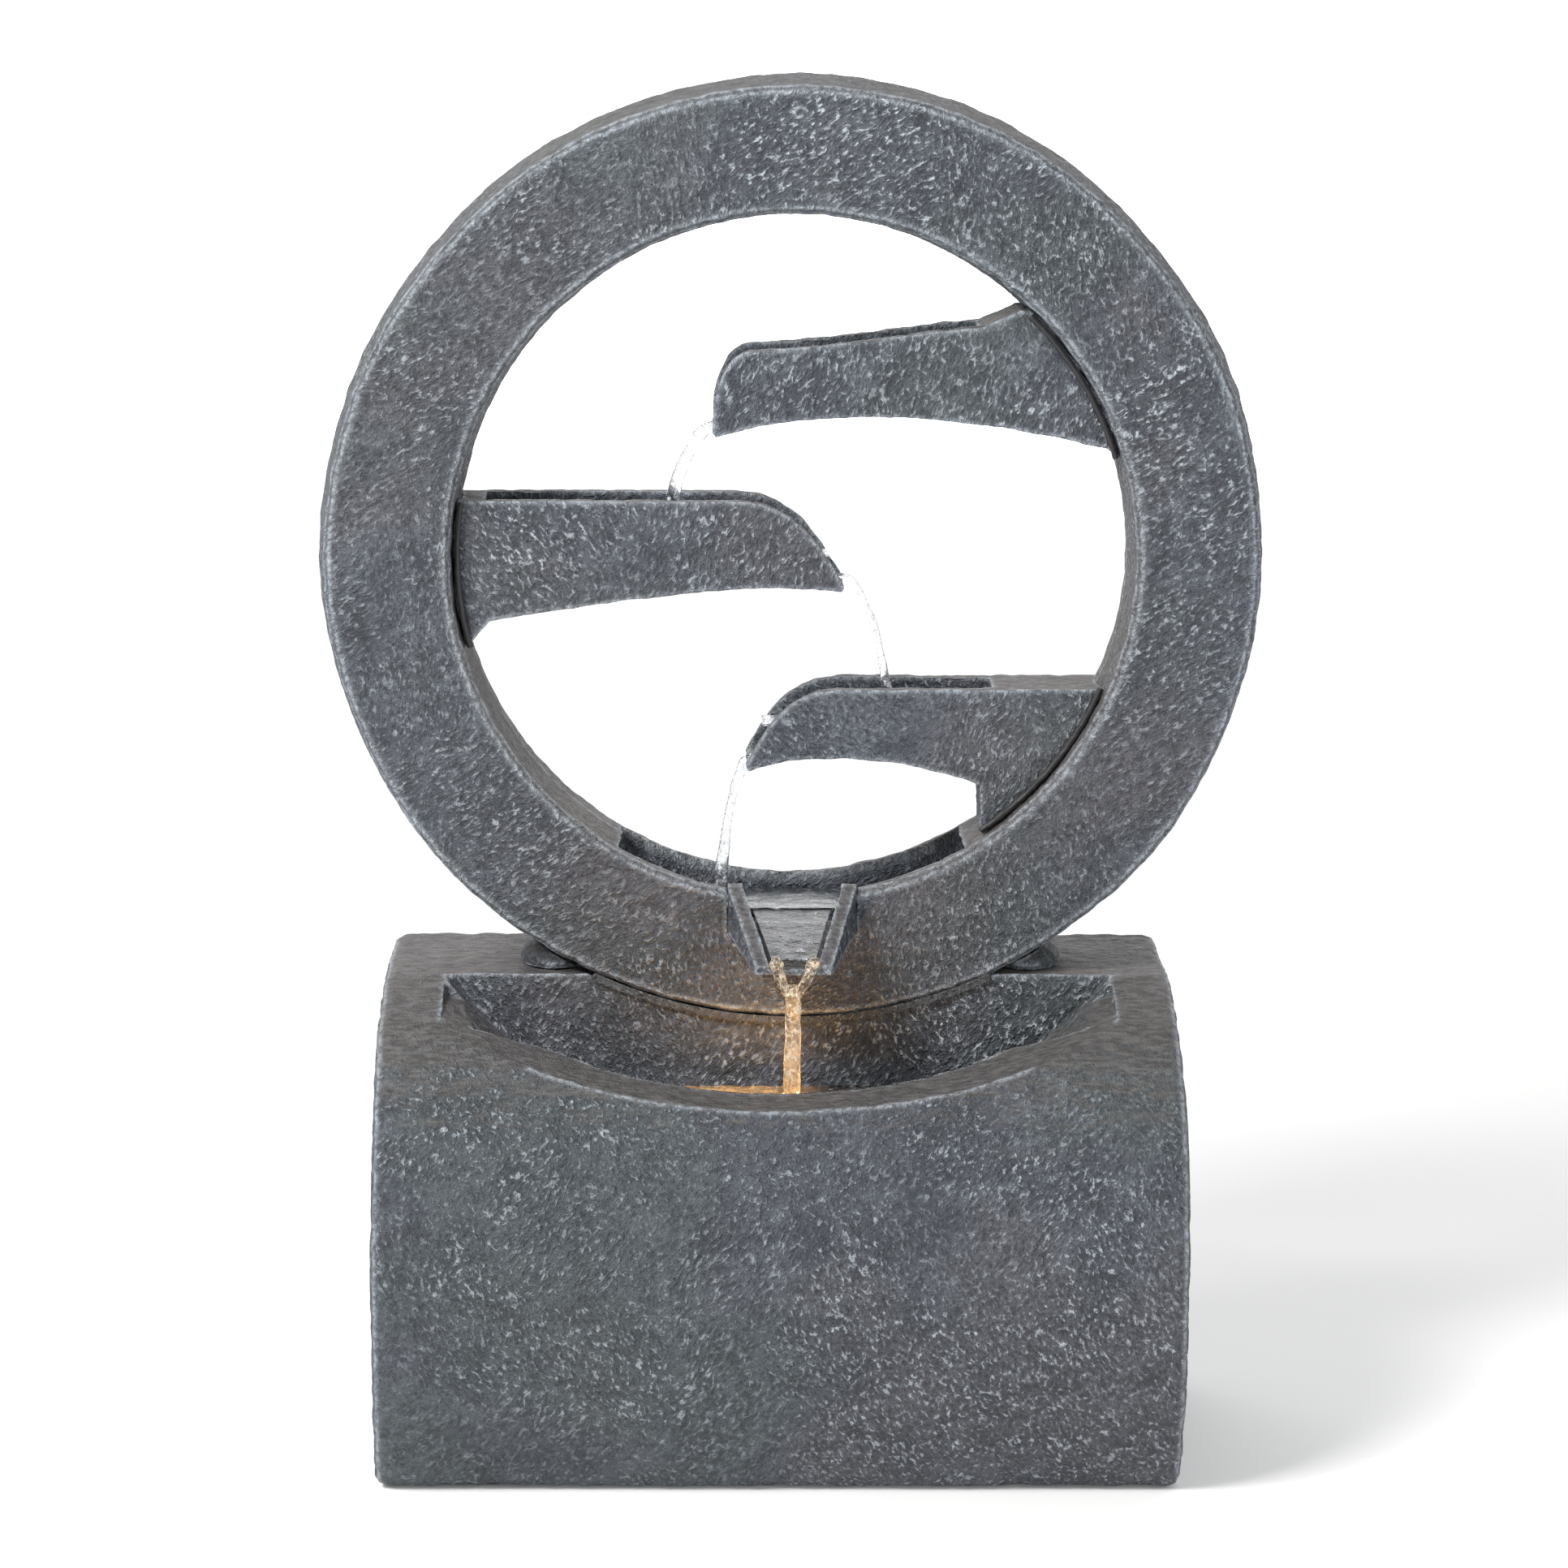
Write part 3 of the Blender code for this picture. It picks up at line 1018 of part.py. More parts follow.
def riser_hose():
    """The hose from the wall up the ring's right side to the upper spout, with its band."""
    radius = LINER_R + LINER_THICKNESS + HOSE_R + 2 * HOSE_STOP
    start_y = THREAD_END_Y + HOSE_STOP
    straight = (0.0, BARB_LENGTH - HOSE_STOP, BARB_LENGTH - HOSE_STOP + HOSE_R / 2)
    points = [Vector((PUMP_X, start_y + reach, BULKHEAD_Z)) for reach in straight]
    points += [Vector((PUMP_X, start_y + 1.8 * BARB_LENGTH, BULKHEAD_Z + BARB_LENGTH)),
               Vector((FOOT_HOLE_X + HOSE_STOP, FOOT_HOLE_Y + 2 * HOSE_STOP, CRADLE_Z - HOSE_STOP)),
               Vector((FOOT_HOLE_X, FOOT_HOLE_Y, RING_BOTTOM_Z + HOSE_R)),
               Vector((FOOT_HOLE_X + 2 * HOSE_R, FOOT_HOLE_Y - HOSE_STOP, RING_BOTTOM_Z + 4 * HOSE_R))]
    first = -math.pi / 2 + math.radians(14.0)
    last = math.asin((NOZZLE_RISE - 4 * BARB_LENGTH) / radius)
    climb = arc((0.0, RING_Z), radius, first, last, 11)
    for step, (x, z) in enumerate(climb):
        drift = (RING_MID_Y - FOOT_HOLE_Y + HOSE_STOP) * step / 11
        points.append(Vector((x, FOOT_HOLE_Y - HOSE_STOP + drift, z)))
    end_x = nozzle_wall_x() + HOSE_STOP
    points.append(Vector((end_x + 1.9 * BARB_LENGTH, RING_MID_Y, NOZZLE_Z - BARB_LENGTH)))
    points += [Vector((end_x + reach, RING_MID_Y, NOZZLE_Z)) for reach in reversed(straight)]
    smooth(hose("riser_hose", smooth_path(points, 2), HOSE_R, HOSE_WALL, HOSE))
    hose_clamp("riser_end", (PUMP_X, start_y + CLAMP_WIDTH, BULKHEAD_Z), (0, 1, 0))


def hose_clamp(name, centre, way):
    """A steel band round a hose end, with its lug."""
    centre, way = Vector(centre), Vector(way)
    reach = way * CLAMP_WIDTH / 2
    inner = HOSE_R + GAP
    band = sleeve("hose_clamp_" + name, centre - reach, centre + reach, inner + CLAMP_THICKNESS, inner, STEEL)
    lug = centre + way.cross(Vector((1, 0, 0))).normalized() * (inner + CLAMP_LUG)
    size = Vector((CLAMP_LUG, CLAMP_LUG, CLAMP_LUG))
    smooth(join(band, box("lug", lug - size, lug + size)))


# ---------------------------------------------------------------- light
def led_housing():
    """The light's round housing with its two pivots."""
    reach = LED_R + BRACKET_PLAY + BRACKET
    housing = upright("led_housing", LED_X, LED_Y, LED_LOW_Z, LED_TOP_Z, LED_R, PLASTIC, 24)
    join(housing, across_x("pivot", LED_Y, LED_Z, LED_X - reach, LED_X + reach, LED_PIVOT_R))
    cut(housing,
        upright("room", LED_X, LED_Y, LED_LOW_Z + LED_FLOOR, LED_TOP_Z + CUT_OVER, LED_R - LED_WALL,
                sides=24),
        upright("lead_hole", LED_X, LED_Y, LED_LOW_Z - CUT_OVER, LED_Z, LED_LEAD_R, sides=16))
    smooth(housing)


def led_inside():
    """The board, the seal and the lens in the housing."""
    inside = LED_R - LED_WALL - GAP
    board_z = LED_LOW_Z + LED_FLOOR + GAP
    lens_z = LED_TOP_Z - LED_LENS_INSET - LED_LENS
    smooth(upright("led_board", LED_X, LED_Y, board_z, board_z + LED_BOARD, inside, BOARD, 24))
    smooth(sleeve("led_seal", (LED_X, LED_Y, lens_z - GAP - LED_SEAL), (LED_X, LED_Y, lens_z - GAP), inside,
                  inside - LED_SEAL_WIDTH, RUBBER, 24))
    smooth(upright("led_lens", LED_X, LED_Y, lens_z, LED_TOP_Z - LED_LENS_INSET, inside, GLASS, 24))


def led_bracket():
    """The bracket that stands on the well's floor and carries the light's pivots."""
    foot_z = WELL_FLOOR_Z + GAP
    high_z = LED_Z + BRACKET_ABOVE_PIVOT
    inner = LED_R + BRACKET_PLAY
    outer = inner + BRACKET
    outline = [(-outer, foot_z), (outer, foot_z), (outer, high_z), (inner, high_z), (inner, foot_z + BRACKET),
               (-inner, foot_z + BRACKET), (-inner, high_z), (-outer, high_z)]
    half = BRACKET_WIDTH / 2
    outline = [(LED_X + x, z) for x, z in outline]
    bracket = flat("led_bracket", outline, LED_Y - half, LED_Y + half, "Y", PLASTIC)
    cut(bracket, across_x("pivot_hole", LED_Y, LED_Z, LED_X - 2 * outer, LED_X + 2 * outer,
                          LED_PIVOT_R + GAP))
    smooth(bracket)


# ---------------------------------------------------------------- service parts of the base
def drain_plug():
    """The rubber stopper in the well's floor, which is pulled up to empty the pool."""
    head = WELL_FLOOR_Z + GAP
    foot = WELL_FLOOR_Z - BASE_WALL + DRAIN_HEAD
    profile = [(0.0, head + DRAIN_GRIP), (DRAIN_GRIP_R, head + DRAIN_GRIP), (DRAIN_GRIP_R, head + DRAIN_HEAD),
               (DRAIN_HEAD_R, head + DRAIN_HEAD * 0.75), (DRAIN_HEAD_R, head),
               (DRAIN_R - DRAIN_TAPER / 2 - GAP, head), (DRAIN_R - DRAIN_TAPER, foot), (0.0, foot)]
    place = Matrix.Translation((DRAIN_X, DRAIN_Y, 0.0))
    smooth(turned("drain_plug", profile, place, RUBBER, 24, closed=False))


def rear_cover():
    """The rear cover with its gasket and two thumbscrews."""
    outer_y = COVER_Y + COVER_PLATE
    seal_y = COVER_FLOOR_Y + GAP
    seal = box("cover_gasket", *cover_corners(-GASKET_INSET, seal_y, seal_y + GASKET), RUBBER)
    cut(seal, box("gasket_room", *cover_corners(COVER_OPENING, seal_y - CUT_OVER, seal_y + CUT_OVER)))
    cover = box("rear_cover", *cover_corners(0.0, COVER_Y, outer_y), ACCENT, edge=COVER_PLATE / 6)
    for name, x in cover_screw_places().items():
        for piece in (seal, cover):
            cut(piece, along_y("screw_way", x, COVER_Z, COVER_FLOOR_Y - CUT_OVER, outer_y + CUT_OVER,
                               SCREW_R + SCREW_PLAY))
        screw = along_y("cover_thumbscrew_" + name, x, COVER_Z, outer_y + GAP, BASE_BACK_Y - GAP, THUMB_R,
                        STEEL, 20)
        join(screw, along_y("shank", x, COVER_Z, COVER_FLOOR_Y - SCREW_SEAT, outer_y + 3 * GAP, SCREW_R))
        smooth(screw)
    for row in range(SLIT_COUNT):
        slit_z = COVER_Z + (row - (SLIT_COUNT - 1) / 2) * SLIT_PITCH
        cut(cover, box("slit", (BASE_X - SLIT_LENGTH / 2, COVER_Y - CUT_OVER, slit_z - SLIT_HEIGHT / 2),
                       (BASE_X + SLIT_LENGTH / 2, COVER_Y + CUT_OVER, slit_z + SLIT_HEIGHT / 2)))
    smooth(cover)


def cable_grommet():
    """The rubber grommet where the supply lead leaves the rear chamber."""
    out_z, in_z = GAP * 2 - BASE_BACK_Y, -CHAMBER_BACK_Y
    flange = GROMMET_R + GROMMET_LIP
    profile = [(GROMMET_R - GAP, in_z + GAP), (GROMMET_R - GAP, out_z), (GROMMET_BORE_R, out_z),
               (GROMMET_BORE_R, in_z + GROMMET_LIP_THICKNESS), (flange, in_z + GROMMET_LIP_THICKNESS),
               (flange, in_z + GAP)]
    place = Matrix.Translation((GROMMET_X, 0.0, GROMMET_Z)) @ Matrix.Rotation(math.pi / 2, 4, "X")
    smooth(turned("cable_grommet", profile, place, RUBBER, 24))


base_shell()
ring_shell("ring_front_shell", True)
ring_shell("ring_rear_shell", False)
channel_liner()
lip_spout()
for one in (UPPER, MIDDLE, LOWER):
    spout(one)
    sealant(one)
foot_mortar("foot_mortar_left", -1)
foot_mortar("foot_mortar_right", 1)
foot_dowel("foot_dowel_left", -1)
foot_dowel("foot_dowel_right", 1)
pump_housing()
pump_feet()
pump_intake_cover()
flow_dial()
pump_rotor()
bulkhead()
outlet_nozzle()
pump_hose()
riser_hose()
led_housing()
led_inside()
led_bracket()
drain_plug()
rear_cover()
cable_grommet()
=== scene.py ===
"""Looks of the tiered ring fountain: cast stone, moving water, the pump's fittings and the studio.

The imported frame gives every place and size. The stone castings are finer copies of their frame
nodes with real relief, the water is added round them, and the fittings keep their frame meshes.
"""

from __future__ import annotations

import json
import logging
import math
from dataclasses import dataclass, field
from enum import Enum
from typing import Any, Callable

import bmesh
import bpy
from mathutils import Matrix, Vector, noise
from mathutils.kdtree import KDTree

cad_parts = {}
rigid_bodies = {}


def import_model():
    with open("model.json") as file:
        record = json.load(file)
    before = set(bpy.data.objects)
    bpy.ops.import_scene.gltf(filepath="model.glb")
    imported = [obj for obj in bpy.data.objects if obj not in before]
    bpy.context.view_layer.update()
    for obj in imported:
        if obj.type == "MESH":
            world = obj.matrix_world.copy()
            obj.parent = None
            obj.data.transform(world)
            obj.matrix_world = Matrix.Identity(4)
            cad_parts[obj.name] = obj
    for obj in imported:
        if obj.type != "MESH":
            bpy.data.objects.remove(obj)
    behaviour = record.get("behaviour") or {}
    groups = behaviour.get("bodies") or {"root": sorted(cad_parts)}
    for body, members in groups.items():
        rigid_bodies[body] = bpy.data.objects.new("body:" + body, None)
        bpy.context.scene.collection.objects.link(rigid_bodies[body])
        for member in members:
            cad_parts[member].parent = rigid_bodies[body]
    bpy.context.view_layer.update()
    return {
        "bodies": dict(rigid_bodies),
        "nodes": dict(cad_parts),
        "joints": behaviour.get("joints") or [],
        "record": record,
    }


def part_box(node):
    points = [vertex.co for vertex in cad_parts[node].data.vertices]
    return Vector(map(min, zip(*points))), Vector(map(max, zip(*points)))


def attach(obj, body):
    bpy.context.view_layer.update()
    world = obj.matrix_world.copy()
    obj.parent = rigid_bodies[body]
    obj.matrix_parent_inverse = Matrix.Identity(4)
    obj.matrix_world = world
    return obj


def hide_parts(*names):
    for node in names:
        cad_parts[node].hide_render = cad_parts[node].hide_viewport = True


LOG = logging.getLogger("fountain")
Colour = tuple[float, float, float]
Span = Callable[[Vector, Vector], float]

RING_CENTRE_Z = 0.6525
RING_INNER_R = 0.2485
RING_OUTER_R = 0.3475
RING_FRONT_Y = 0.014
RING_BACK_Y = 0.124
POOL_WATER_Z = 0.2620
CHANNEL_WATER_Z = 0.3930
WEAR_ATTRIBUTE = "edge_wear"
MERGE_DISTANCE = 0.00002
REFINE_PASSES = 12
BLACK = (0.0, 0.0, 0.0)


# --------------------------------------------------------------------------- shader writing


class Num:
    """A shader number that takes part in Python arithmetic."""

    def __init__(self, graph: Graph, socket: bpy.types.NodeSocket) -> None:
        """Wraps one socket of a graph."""
        self.graph = graph
        self.socket = socket

    def _math(self, operation: str, first: Any, second: Any = None, third: Any = None) -> Num:
        """Adds one Math node.

        Args:
            operation: the node's operation.
            first: the first value or link.
            second: the second, where the operation takes one.
            third: the third, where the operation takes one.

        Returns:
            The node's result.
        """
        values = {i: v for i, v in enumerate((first, second, third)) if v is not None}
        return self.graph.node("ShaderNodeMath", {"operation": operation}, values)

    def __add__(self, other: Any) -> Num:
        """self + other."""
        return self._math("ADD", self, other)

    def __radd__(self, other: Any) -> Num:
        """other + self."""
        return self._math("ADD", other, self)

    def __sub__(self, other: Any) -> Num:
        """self - other."""
        return self._math("SUBTRACT", self, other)

    def __rsub__(self, other: Any) -> Num:
        """other - self."""
        return self._math("SUBTRACT", other, self)

    def __mul__(self, other: Any) -> Num:
        """self * other."""
        return self._math("MULTIPLY", self, other)

    def __rmul__(self, other: Any) -> Num:
        """other * self."""
        return self._math("MULTIPLY", other, self)

    def __truediv__(self, other: Any) -> Num:
        """self / other."""
        return self._math("DIVIDE", self, other)

    def __pow__(self, other: Any) -> Num:
        """self ** other."""
        return self._math("POWER", self, other)

    def __abs__(self) -> Num:
        """The size of self without its sign."""
        return self._math("ABSOLUTE", self)

    def smooth(self, low: float, high: float) -> Num:
        """Turns self into a soft step.

        Args:
            low: the value that gives 0.
            high: the value that gives 1; it may be under low.

        Returns:
            A number from 0 to 1.
        """
        start, end, out = (low, high, (0.0, 1.0)) if low < high else (high, low, (1.0, 0.0))
        values = {"Value": self, "From Min": start, "From Max": end,
                  "To Min": out[0], "To Max": out[1]}
        return self.graph.node("ShaderNodeMapRange", {"interpolation_type": "SMOOTHSTEP"}, values)

    def clamp(self) -> Num:
        """Keeps self from 0 to 1."""
        return self.graph.node("ShaderNodeClamp", {}, {"Value": self})


class Graph:
    """The node tree of one material."""

    def __init__(self, name: str) -> None:
        """Makes an empty material with an output."""
        self.material = bpy.data.materials.new(name)
        self.material.use_nodes = True
        self.tree = self.material.node_tree
        self.tree.nodes.clear()
        self.output = self.tree.nodes.new("ShaderNodeOutputMaterial")

    def raw(self, kind: str, settings: dict[str, Any], values: dict[Any, Any]) -> bpy.types.Node:
        """Adds a node: its settings first, then its sockets.

        Args:
            kind: the node's type.
            settings: properties, such as an operation.
            values: numbers, colours, links or Num by socket name or index.

        Returns:
            The node.
        """
        node = self.tree.nodes.new(kind)
        for key, value in settings.items():
            setattr(node, key, value)
        for key, value in values.items():
            socket = node.inputs[key]
            if isinstance(value, Num):
                value = value.socket
            if isinstance(value, bpy.types.NodeSocket):
                self.tree.links.new(value, socket)
            elif isinstance(value, tuple) and len(value) == 3 and socket.type == "RGBA":
                socket.default_value = (*value, 1.0)
            else:
                socket.default_value = value
        return node

    def node(self, kind: str, settings: dict[str, Any], values: dict[Any, Any],
             out: Any = 0) -> Num:
        """Adds a node and returns one of its outputs as a Num; the arguments are those of raw()."""
        return Num(self, self.raw(kind, settings, values).outputs[out])

    def place(self) -> Num:
        """The point on the piece, in the frame's metres."""
        return self.node("ShaderNodeTexCoord", {}, {}, "Object")

    def stretched(self, place: Num, turn: tuple[float, float, float],
                  stretch: tuple[float, float, float]) -> Num:
        """Turns a pattern, then draws it out along its own axes.

        Args:
            place: the point.
            turn: rotation of the pattern in degrees.
            stretch: how much longer the pattern gets along each of its axes.

        Returns:
            The pattern's own point.
        """
        turned = tuple(math.radians(a) for a in turn)
        return self.node("ShaderNodeMapping", {"vector_type": "TEXTURE"},
                         {"Vector": place, "Rotation": turned, "Scale": stretch})

    def noise(self, place: Num, scale: float, detail: float = 2.0, rough: float = 0.5,
              bend: float = 0.0, out: str = "Fac") -> Num:
        """Cloudy noise at a number of features per metre."""
        values = {"Vector": place, "Scale": scale, "Detail": detail, "Roughness": rough,
                  "Distortion": bend}
        return self.node("ShaderNodeTexNoise", {}, values, out)

    def vector(self, operation: str, first: Any, second: Any) -> Num:
        """Adds one Vector Math node."""
        second_socket = 3 if operation == "SCALE" else 1
        return self.node("ShaderNodeVectorMath", {"operation": operation},
                         {0: first, second_socket: second})

    def axis(self, vector: Num, name: str) -> Num:
        """One of a vector's X, Y and Z."""
        return self.node("ShaderNodeSeparateXYZ", {}, {"Vector": vector}, name)

    def mix(self, factor: Any, first: Any, second: Any, blend: str = "MIX") -> Num:
        """Blends two colours.

        Args:
            factor: share of the second colour.
            first: the first colour.
            second: the second colour.
            blend: the blend's name.

        Returns:
            The colour.
        """
        settings = {"data_type": "RGBA", "blend_type": blend, "clamp_factor": True}
        return self.node("ShaderNodeMix", settings, {0: factor, 6: first, 7: second}, 2)

    def bump(self, height: Num, distance: float, strength: float = 1.0) -> Num:
        """Turns a height into a normal; distance is the height of 1 in metres."""
        values = {"Height": height, "Distance": distance, "Strength": strength}
        return self.node("ShaderNodeBump", {}, values, "Normal")

    def principled(self, values: dict[Any, Any]) -> bpy.types.Material:
        """Ends the material with its shader.

        Args:
            values: sockets of the Principled shader.

        Returns:
            The finished material.
        """
        shader = self.raw("ShaderNodeBsdfPrincipled", {}, values)
        self.tree.links.new(shader.outputs[0], self.output.inputs["Surface"])
        return self.material


# --------------------------------------------------------------------------- finishes


@dataclass(frozen=True)
class StoneFinish:
    """Slate-blue cast stone, trowelled into short ridges and dry-brushed with chalk."""

    name: str
    # deep is painted shade: the colour that the relief's hollows and the grain's pits are darkened
    # towards.
    deep: Colour = (0.030, 0.034, 0.042)
    dusk: Colour = (0.072, 0.082, 0.100)
    slate: Colour = (0.134, 0.148, 0.176)
    plum: Colour = (0.118, 0.115, 0.132)
    moss: Colour = (0.098, 0.122, 0.126)
    chalk: Colour = (0.50, 0.55, 0.61)
    earth: Colour = (0.082, 0.075, 0.073)
    earth_light: Colour = (0.165, 0.155, 0.150)
    chalk_amount: float = 1.0
    wear: float = 0.75
    relief: float = 0.0042
    brush_low: float = 0.19
    brush_high: float = 0.33
    ring_shaped: bool = False
    turn: float = 0.0
    bend_scale: float = 34.0
    bend_reach: float = 0.010
    steep_angle: float = -56.0
    steep_scale: float = 330.0
    falling_angle: float = 62.0
    falling_scale: float = 350.0
    thread_scale: float = 85.0
    thread_width: float = 0.022
    grain_scale: float = 900.0
    streak_scale: float = 300.0
    streak_stretch: float = 3.5
    moss_offset: Colour = (3.1, 1.7, 5.3)
    channel_step: float = 0.006

    def _rods(self, g: Graph, place: Num, angle: float, scale: float, stretch: float) -> Num:
        """Short raised strokes.

        Args:
            g: the material's graph.
            place: the point, already bent.
            angle: the strokes' direction in degrees.
            scale: strokes per metre, across them.
            stretch: how much longer than wide they are.

        Returns:
            A height from 0 to 1, highest along the strokes.
        """
        run = g.stretched(place, (0.0, angle + self.turn, 0.0), (stretch, 1.0, 1.0))
        return g.noise(run, scale, 2.0, 0.60, 0.20)

    def _threads(self, g: Graph, place: Num, scale: float, width: float) -> Num:
        """Long thin wandering ridges; width is the share of the noise's range that one takes."""
        cloud = g.noise(place, scale, 2.0, 0.5, 0.4)
        return (1.0 - abs(cloud - 0.5) / width).smooth(0.0, 1.0)

    def _wrinkle(self, g: Graph, bent: Num, spot: Num) -> Num:
        """Strokes that lie one way in some areas and the other way in the rest."""
        lay = g.noise(spot, 6.5, 1.0).smooth(0.44, 0.56)
        steep = self._rods(g, bent, self.steep_angle, self.steep_scale, 1.9)
        falling = self._rods(g, bent, self.falling_angle, self.falling_scale, 1.7)
        return steep * (1.0 - lay) + falling * lay

    def _body(self, g: Graph, bent: Num, spot: Num, hollow: Num) -> Num:
        """Colours the stone before its chalk.

        Args:
            g: the material's graph.
            bent: the point, bent.
            spot: the point.
            hollow: share of the darkest colour, which is painted shade in the hollows.

        Returns:
            Slate, with plum and moss areas and painted shade in the hollows.
        """
        body = g.mix(g.noise(bent, 21.0, 4.0, 0.60).smooth(0.30, 0.70), self.dusk, self.slate)
        body = g.mix(g.noise(spot, 5.2, 3.0).smooth(0.48, 0.62) * 0.75, body, self.plum)
        aside = g.vector("ADD", spot, self.moss_offset)
        body = g.mix(g.noise(aside, 4.1, 3.0).smooth(0.50, 0.64) * 0.65, body, self.moss)
        # Painted shade: the hollows are darkened towards the deep colour.
        return g.mix(hollow, body, self.deep)

    def _chalk_share(self, g: Graph, bent: Num, spot: Num, crest: Num) -> Num:
        """How much of the dry-brushed chalk a crest holds; the chalk gets heavier the higher the
        point stands.
        """
        dust = g.noise(spot, 3.4, 3.0, 0.6).smooth(0.34, 0.66)
        brushed = g.noise(bent, 150.0, 3.0, 0.6).smooth(0.36, 0.62)
        # The chalk gets heavier the higher the point stands.
        high = g.axis(spot, "Z").smooth(self.brush_low, self.brush_high)
        return crest * (0.25 + 0.75 * brushed) * (0.40 + 0.45 * dust + 0.45 * high)

    def _bare_share(self, g: Graph, spot: Num, flat_top: Num) -> Num:
        """How much of a face is bare brown stone: flat tops, and the ring's lower inner face."""
        if not self.ring_shaped:
            return flat_top * 0.85
        across = g.axis(spot, "X")
        above = g.axis(spot, "Z") - RING_CENTRE_Z
        radius = (across * across + above * above) ** 0.5
        inner = radius.smooth(RING_INNER_R + self.channel_step, RING_INNER_R + 0.001)
        return (flat_top * 0.55 + inner * above.smooth(0.10, -0.10) * 0.75).clamp()

    def build(self) -> bpy.types.Material:
        """Writes the material.

        Returns:
            The stone.
        """
        g = Graph(self.name)
        spot = g.place()
        swirl = g.noise(spot, self.bend_scale, 2.0, out="Color")
        bend = g.vector("SUBTRACT", swirl, (0.5, 0.5, 0.5))
        bent = g.vector("ADD", spot, g.vector("SCALE", bend, self.bend_reach))
        up = g.axis(g.node("ShaderNodeNewGeometry", {}, {}, "Normal"), "Z")
        flat_top = up.smooth(0.55, 0.9)

        wrinkle = self._wrinkle(g, bent, spot)
        busy = g.noise(spot, 9.0, 3.0, 0.55).smooth(0.36, 0.58)
        sparse = g.noise(spot, 70.0, 2.0).smooth(0.56, 0.64)
        threads = self._threads(g, bent, self.thread_scale, self.thread_width) * sparse
        crest = (wrinkle.smooth(0.51, 0.63) * (0.35 + 0.65 * busy) + threads * 0.8).clamp()
        drawn_out = g.stretched(spot, (0.0, 0.0, 0.0), (self.streak_stretch, 1.0, 1.0))
        streaks = g.noise(drawn_out, self.streak_scale, 3.0)
        lumps = g.noise(bent, 70.0, 3.0, 0.6)
        grain = g.noise(spot, self.grain_scale, 2.0, 0.6)
        strokes = wrinkle * 1.25 * (0.45 + 0.55 * busy) + crest * 0.45
        height = (strokes * (1.0 - 0.80 * flat_top) + lumps * 1.45
                  + grain * 0.42 + streaks * 0.45 * flat_top)

        # Painted shade: the low parts of the relief and the pits of the fine grain get the deep
        # colour.
        low = (wrinkle * 0.7 + lumps * 0.3).smooth(0.55, 0.38)
        hollow = (low * 0.62 + grain.smooth(0.52, 0.36) * 0.40).clamp()
        chalky = self._chalk_share(g, bent, spot, crest)
        chalky = (chalky * self.chalk_amount * (1.0 - 0.85 * flat_top)).clamp()
        body = g.mix(chalky, self._body(g, bent, spot, hollow), self.chalk)
        tops = g.mix(streaks.smooth(0.38, 0.66), self.earth, self.earth_light)
        body = g.mix(self._bare_share(g, spot, flat_top), body, tops)
        worn = g.node("ShaderNodeAttribute", {"attribute_name": WEAR_ATTRIBUTE}, {}, "Fac")
        line = worn * (0.25 + 0.75 * g.noise(spot, 210.0, 3.0, 0.65).smooth(0.38, 0.60))
        body = g.mix((line * self.wear).clamp(), body, self.chalk)
        return g.principled({"Base Color": body, "Normal": g.bump(height, self.relief),
                             "Roughness": 0.66 - 0.16 * crest, "Specular IOR Level": 0.45})


class Grain(Enum):
    """The fine texture that a fitting's material has."""

    SPARK = "moulded"
    BRUSHED = "brushed"
    CLOUDY = "cloudy"


@dataclass(frozen=True)
class FittingFinish:
    """Plastic, rubber, metal or ceramic of the fittings."""

    name: str
    colour: Colour
    rough: float
    grain: Grain = Grain.SPARK
    metal: float = 0.0
    transmission: float = 0.0
    contrast: float = 0.22
    relief: float = 0.00012

    def build(self) -> bpy.types.Material:
        """Writes the material.

        Returns:
            The finish, with its own grain and unevenness.
        """
        g = Graph(self.name)
        spot = g.place()
        if self.grain is Grain.BRUSHED:
            fine = g.noise(g.stretched(spot, (0.0, 90.0, 0.0), (24.0, 1.0, 1.0)), 2400.0, 2.0)
        elif self.grain is Grain.SPARK:
            fine = g.noise(spot, 2600.0, 2.0, 0.6)
        else:
            fine = g.noise(spot, 420.0, 4.0, 0.6)
        soft = g.noise(spot, 48.0, 3.0, 0.6)
        dark = tuple(c * (1.0 - self.contrast) for c in self.colour)
        light = tuple(min(1.0, c * (1.0 + self.contrast) + 0.004) for c in self.colour)
        tone = g.mix(soft * 0.65 + fine * 0.35, dark, light)
        rough = self.rough + (soft - 0.5) * 0.16 + (fine - 0.5) * 0.10
        return g.principled({"Base Color": tone, "Roughness": rough.clamp(), "Metallic": self.metal,
                             "Transmission Weight": self.transmission,
                             "Normal": g.bump(fine, self.relief, 0.6)})


